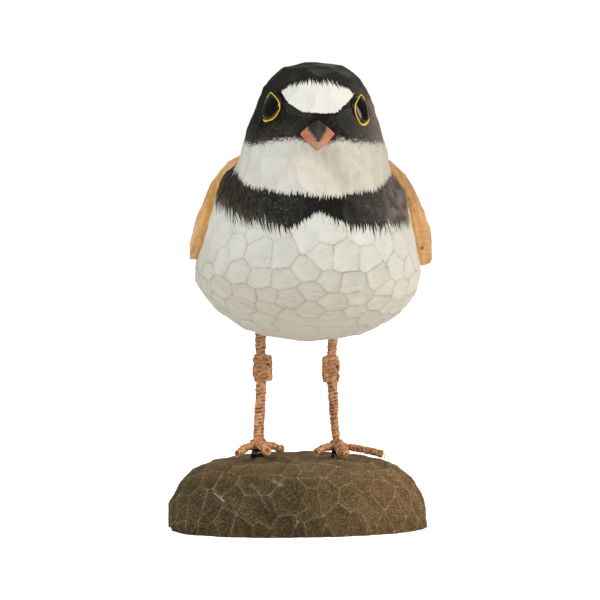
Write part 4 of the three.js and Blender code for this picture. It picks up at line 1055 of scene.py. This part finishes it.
def wound(points, radius, seed, pitch=1.15, twine=0.16, lump=0.2, seg=30, step=0.17, hollow=None, starts=2, cross=0.6, cap_start=True):
    """A bar wound with twine in several starts and crossed by a second layer here and
    there. radius is by the share of its length. Returns vertices, faces and how high
    each vertex stands in the winding."""
    _, at = spline(points, 2)
    n = max(8, int(at[-1] / step))
    p, at = spline(points, n)
    tan, fr = frames(p)
    rng = np.random.default_rng(seed)
    vary = np.interp(at, np.linspace(0, at[-1], 18), rng.normal(0, 1, 18))
    turns = at / pitch + vary * 0.3
    vs, fs, hs = [], [], []
    for i in range(n + 1):
        for j in range(seg):
            b = 2 * math.pi * j / seg
            w = turns[i] - starts * j / seg
            v2 = turns[i] * 0.83 + (starts + 1) * j / seg + 0.37
            f = abs(math.sin(math.pi * w)) ** 0.7
            f2 = abs(math.sin(math.pi * v2)) ** 0.9
            own = math.sin(math.floor(w) * 12.9898 + seed) * 43758.5453
            own = own - math.floor(own)
            q = Vector((math.cos(b) * 1.3, math.sin(b) * 1.3, at[i] * 0.62)) + Vector((seed * 3.1, 0, seed))
            over = noise.noise(q * 0.6 + Vector((9, 4, 2)))
            f = max(f, f2 * cross) if over > 0 else f
            wear = 0.55 + 0.75 * noise.noise(q * 0.9 + Vector((3, 8, 1)))
            l = noise.noise(q) * lump + noise.noise(q * 2.6) * lump * 0.55 + noise.noise(q * 5.5) * lump * 0.25
            f = 1 - (1 - f) * min(1.0, max(0.45, wear + 0.35))
            r = radius(at[i] / at[-1]) - twine * 0.6 + twine * f * (0.6 + 0.8 * own) + l
            vs.append(p[i] + (fr[i][0] * math.cos(b) + fr[i][1] * math.sin(b)) * r)
            hs.append(f + l * 1.6)
    for i in range(n):
        for j in range(seg):
            a, b = i * seg + j, i * seg + (j + 1) % seg
            fs.append((a, b, b + seg, a + seg))
    if cap_start:
        vs.append(p[0])
        hs.append(0.5)
        k = len(vs) - 1
        for j in range(seg):
            fs.append((k, (j + 1) % seg, j))
    last = n * seg
    if hollow:
        # the cut end of the winding: a rim, a short well and its floor
        ring = last
        for shrink, back_by, h in ((0.86, -0.05, 0.95), (0.66, 0.0, 0.75), (0.5, hollow * 0.5, 0.4), (0.36, hollow, 0.34)):
            centre = p[-1] - tan[-1] * back_by
            start = len(vs)
            for j in range(seg):
                rim_p = vs[last + j] - p[-1]
                vs.append(centre + rim_p * shrink)
                hs.append(h)
            for j in range(seg):
                a, b = ring + j, ring + (j + 1) % seg
                fs.append((a, b, start + (j + 1) % seg, start + j))
            ring = start
        vs.append(p[-1] - tan[-1] * hollow)
        hs.append(0.45)
    else:
        ring = last
        vs.append(p[-1] + tan[-1] * 0.15)
        hs.append(0.5)
    k = len(vs) - 1
    for j in range(seg):
        fs.append((k, ring + j, ring + (j + 1) % seg))
    return np.array(vs), fs, hs


def joined(parts):
    vs, fs, hs, n = [], [], [], 0
    for v, f, h in parts:
        vs.append(v)
        fs += [tuple(i + n for i in q) for q in f]
        hs += list(h)
        n += len(v)
    return np.concatenate(vs), fs, hs


def strand(points, r, seed, seg=8):
    """One thin twine along a line, closed at both ends."""
    return wound(points, lambda u: r, seed, pitch=0.8, twine=0.05, lump=0.05, seg=seg, step=0.16)


def leg_material():
    g = Graph("wound_twine")
    P = g.mm()
    high = g.attr("high")
    mid = g.noise(P, 0.5, 3, 0.6)
    fine = g.noise(P, 3.0, 3, 0.7)
    colour = g.mix(g.step(mid, 0.35, 0.68), srgb(226, 168, 120), srgb(200, 142, 98))
    colour = g.mix(g.step(fine, 0.5, 0.7) * 0.5, colour, srgb(228, 184, 146))
    # painted shade in the grooves between the turns of twine, darkest in the deepest, and a painted highlight on the
    # highest turns
    colour = g.mix(g.step(high, 0.9, 0.45) * 0.75, colour, srgb(128, 84, 54))
    colour = g.mix(g.step(high, 0.48, 0.14) * 0.85, colour, srgb(54, 33, 21))
    colour = g.mix(g.step(high, 1.0, 1.3) * 0.5, colour, srgb(232, 186, 142))
    colour = g.mix(g.step(g.noise(P, 1.1, 2, 0.5), 0.58, 0.7) * 0.5, colour, srgb(138, 92, 60))
    colour = g.mix(g.step(g.noise(P, 2.2, 1, 0.5), 0.66, 0.74) * 0.6, colour, srgb(78, 50, 34))
    # painted shadow makes the peg under each ankle near black; a nail hole in one shank, a pit in the knee beside it,
    # and two dark spots on the front of the right ankle
    colour = g.mix(g.step(high, -0.5, -0.9), colour, srgb(38, 26, 17))
    colour = g.mix(g.step(high, 2.2, 2.4), colour, srgb(198, 192, 184))
    x, y, z = g.xyz(P)
    for hx, hz, wide in ((-12.2, 37.6, 0.26), (-9.6, 53.0, 0.42), (-9.0, 52.3, 0.26), (13.5, 25.0, 0.3), (14.8, 24.6, 0.26)):
        away = g.math("SQRT", (x - hx) * (x - hx) + (z - hz) * (z - hz))
        colour = g.mix(g.step(away + (fine - 0.5) * 0.2, wide * 1.35, wide * 0.7) * g.step(y, 0.0, -0.6), colour, srgb(24, 15, 10))
    rough = g.step(fine, 0.3, 0.7, 0.5, 0.72)
    return g.done(colour, rough, g.bump(fine * 0.7 + mid * 0.3, 0.2, 0.8), Specular_IOR_Level=0.35)


leg_mat = leg_material()


def wind(name, parts, nodes):
    v, f, h = joined(parts)
    ob = make(name, v, f, replaces=nodes, attrs={"high": h})
    ob.data.materials.append(leg_mat)
    return ob


def cad_centre(name):
    a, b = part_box(name)
    return (np.array(a) + np.array(b)) * 500


def toe_line(name, ankle):
    """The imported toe's middle line: from its root by the ankle to its tip."""
    v, t = cad_mesh(name)
    far = v[np.argmax(np.hypot(v[:, 0] - ankle[0], v[:, 1] - ankle[1]))]
    d = np.array([far[0] - ankle[0], far[1] - ankle[1], 0])
    d /= np.linalg.norm(d)
    s = (v - ankle) @ d
    out = []
    for lo, hi in ((0, 0.12), (0.2, 0.4), (0.45, 0.65), (0.7, 0.9), (0.93, 1.0)):
        a = s.min() + (s.max() - s.min()) * lo
        b = s.min() + (s.max() - s.min()) * hi
        pick = v[(s >= a) & (s <= b)]
        if len(pick) > 3:
            out.append((pick.min(axis=0) + pick.max(axis=0)) / 2)
    return out


LEGS = {
    "left": dict(
        line=[(-11.9, 1.2, 71.5), (-11.9, 1, 62), (-11.8, 0.6, 50), (-12, 0.3, 41), (-12.5, 0, 33), (-12.8, 0, 26.4)],
        girth=lambda u: 1.6 + 0.03 * math.sin(u * 9),
        ankle=(-12.8, 0, 27.0),
        toes=("outer", "middle", "inner"),
    ),
    "right": dict(
        line=[(12, 1.2, 71), (11.8, 1, 62), (11.3, 0.6, 52), (11.8, 0.3, 42), (12.3, 0, 33), (13.2, 0, 25.6)],
        girth=lambda u: 1.52
        - 0.36 * float(smoothstep(0.7, 0.8, u))
        + 0.14 * math.exp(-(((u - 0.875) / 0.03) ** 2))
        + 0.26 * float(smoothstep(0.93, 1.0, u)),
        ankle=(13.2, 0, 26.2),
        toes=("inner", "middle", "outer"),
    ),
}

def fluff(leg, seed):
    """A few pale ends of thread that lie on the base under the ankle."""
    rng = np.random.default_rng(seed + 50)
    ankle, out = np.array(leg["ankle"]), []
    for k in range(5 if seed == 3 else 2):
        a, b = rng.uniform(-2.9, -0.5), rng.uniform(2.2, 3.2)
        at = ankle + (math.cos(a) * b, math.sin(a) * b, -3.0 + rng.uniform(-0.1, 0.5))
        go = np.array([rng.uniform(-1, 1), rng.uniform(-0.4, 0.4), 0])
        v, f, h = strand([at - go * 1.3, at + (0, 0, 0.3), at + go * 1.2 + (0, 0, 0.1)], 0.1, seed + 60 + k, seg=6)
        out.append((v, f, [2.6] * len(h)))
    return out


def turns_round(middle, tall, seed):
    """Slanting turns of thread laid over the knee's drum."""
    rng = np.random.default_rng(seed + 70)
    out = []
    for k in range(4):
        lift = (1 if k % 2 else -1) * rng.uniform(0.22, 0.36) * tall
        ring = []
        for j in range(19):
            b = 2 * math.pi * j / 18 * 0.985 + k
            ring.append(middle + (math.cos(b) * 2.5, math.sin(b) * 2.5, lift * math.sin(b + 0.6 * k) + rng.uniform(-0.1, 0.1)))
        out.append(strand(ring, 0.27, seed + 90 + k))
    return out


for side_name, leg in LEGS.items():
    seed = 3 if side_name == "left" else 8
    ankle = np.array(leg["ankle"])
    peg_v = wound(
        [ankle + (0, 0, -0.6), ankle + (0, 0, -4), ankle + (0, 0, -7.5)],
        lambda u: 1.5 + 0.7 * float(smoothstep(0.1, 0.34, u)) - 1.3 * float(smoothstep(0.5, 0.7, u)),
        seed + 40, pitch=0.9, twine=0.25, lump=0.55, seg=30,
    )
    # the peg's winding is marked so that the leg material paints it with shadow colour
    peg_v = (peg_v[0], peg_v[1], [-1.0] * len(peg_v[2]))
    wind(
        "winding_leg_" + side_name,
        [wound(leg["line"], leg["girth"], seed, twine=0.3, lump=0.3, cross=0.75), peg_v] + fluff(leg, seed),
        ("wire_leg_" + side_name,),
    )

    # knee: a tight sleeve and the bound end of a second strand beside it
    kc = cad_centre("knee_binding_" + side_name)
    lo, hi = (np.array(q) * 1000 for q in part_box("knee_binding_" + side_name))
    top, bottom = hi[2] - 0.1, lo[2] + 0.1
    path_p, _ = spline(leg["line"], 120)
    shaft = lambda zz: np.array([np.interp(zz, path_p[::-1, 2], path_p[::-1, k]) for k in range(3)])
    drum = [shaft(q) for q in np.linspace(top, bottom, 5)]
    grow = lambda u: 2.2 - 0.3 * (float(smoothstep(0.08, 0, u)) + float(smoothstep(0.92, 1, u)))
    off = np.array([2.1, -0.5, 0]) if side_name == "left" else np.array([-1.7, -0.75, 0])
    thin = lambda u: (1.5 if side_name == "left" else 1.36) - 0.22 * (float(smoothstep(0.1, 0, u)) + float(smoothstep(0.9, 1, u)))
    beside = [shaft(q) + off for q in np.linspace(bottom + 0.35, top - 0.3, 5)]
    wind(
        "winding_knee_" + side_name,
        [
            wound(drum, grow, seed + 5, pitch=1.25, twine=0.3, lump=0.28, seg=40, cross=0.9),
            wound(beside, thin, seed + 11, pitch=0.95, twine=0.3, lump=0.26, seg=30, hollow=0.5, cross=0.9),
        ]
        + turns_round(shaft((top + bottom) / 2), top - bottom, seed),
        ("knee_binding_" + side_name,),
    )

    # toes, and the crossed windings that hold them at the ankle
    knot = []
    for k, toe in enumerate(leg["toes"]):
        node = f"toe_{side_name}_{toe}"
        line = toe_line(node, ankle)
        root = ankle + (np.array(line[0]) - ankle) * 0.35
        root[2] = max(root[2], line[0][2] + 0.1)
        line = [root] + line
        knob = side_name == "right" and toe == "middle"
        r0 = {"outer": 1.12, "middle": 1.24, "inner": 1.12}[toe]
        shape = (
            (lambda u: 1.15 + 0.55 * float(smoothstep(0.35, 0.75, u)) - 0.12 * float(smoothstep(0.9, 1, u)))
            if knob
            else (lambda u, r0=r0: r0 * (1.0 + 0.06 * float(smoothstep(0.85, 1.0, u))))
        )
        if knob:
            line[-2:] = [line[-2] + (0.4, 0, -0.1), line[-1] + (0.7, 0, -0.2)]
        parts = [
            wound(line, shape, seed * 10 + k, pitch=1.1, twine=0.3, lump=0.45 if knob else 0.28, seg=28, hollow=None if knob else 0.45)
        ]
        if node == "toe_right_outer":
            tip = line[-1]
            parts.append(strand([tip + (-0.6, -0.9, 0.6), tip + (0.1, -1.0, 0.2), tip + (0.5, -0.9, -0.5), tip + (0.35, -0.8, -1.3)], 0.13, 77))
            parts.append(strand([tip + (-1.4, -0.6, 1.1), tip + (-0.5, -0.9, 1.15), tip + (0.2, -0.6, 0.9)], 0.14, 78))
        wind("winding_" + node, parts, (node,))
    # the ankle's knot: a lumpy core and crossing turns
    rng = np.random.default_rng(seed)
    core = [ankle + (0, 0, 1.9), ankle + (0, 0, 0.7), ankle + (0, -0.1, -0.6), ankle + (0, 0, -1.6)]
    knot.append(wound(core, lambda u: 1.5 + 0.75 * math.sin(math.pi * min(1, u * 1.05)), seed + 21, pitch=0.8, twine=0.2, lump=0.25, seg=32))
    for k in range(7):
        tilt = math.radians(rng.uniform(-50, 50))
        spin = rng.uniform(0, math.pi)
        ring = []
        for j in range(17):
            b = 2 * math.pi * j / 16 * 0.97
            q = np.array([math.cos(b) * 2.55, math.sin(b) * 2.4, 0.0])
            q = np.array([q[0], q[1] * math.cos(tilt), q[1] * math.sin(tilt)])
            q = np.array([q[0] * math.cos(spin) - q[1] * math.sin(spin), q[0] * math.sin(spin) + q[1] * math.cos(spin), q[2]])
            ring.append(ankle + q + (0, 0, rng.uniform(-0.15, 0.15) + 0.1))
        knot.append(strand(ring, 0.3, seed + 30 + k))
    wind("winding_ankle_" + side_name, knot, ())
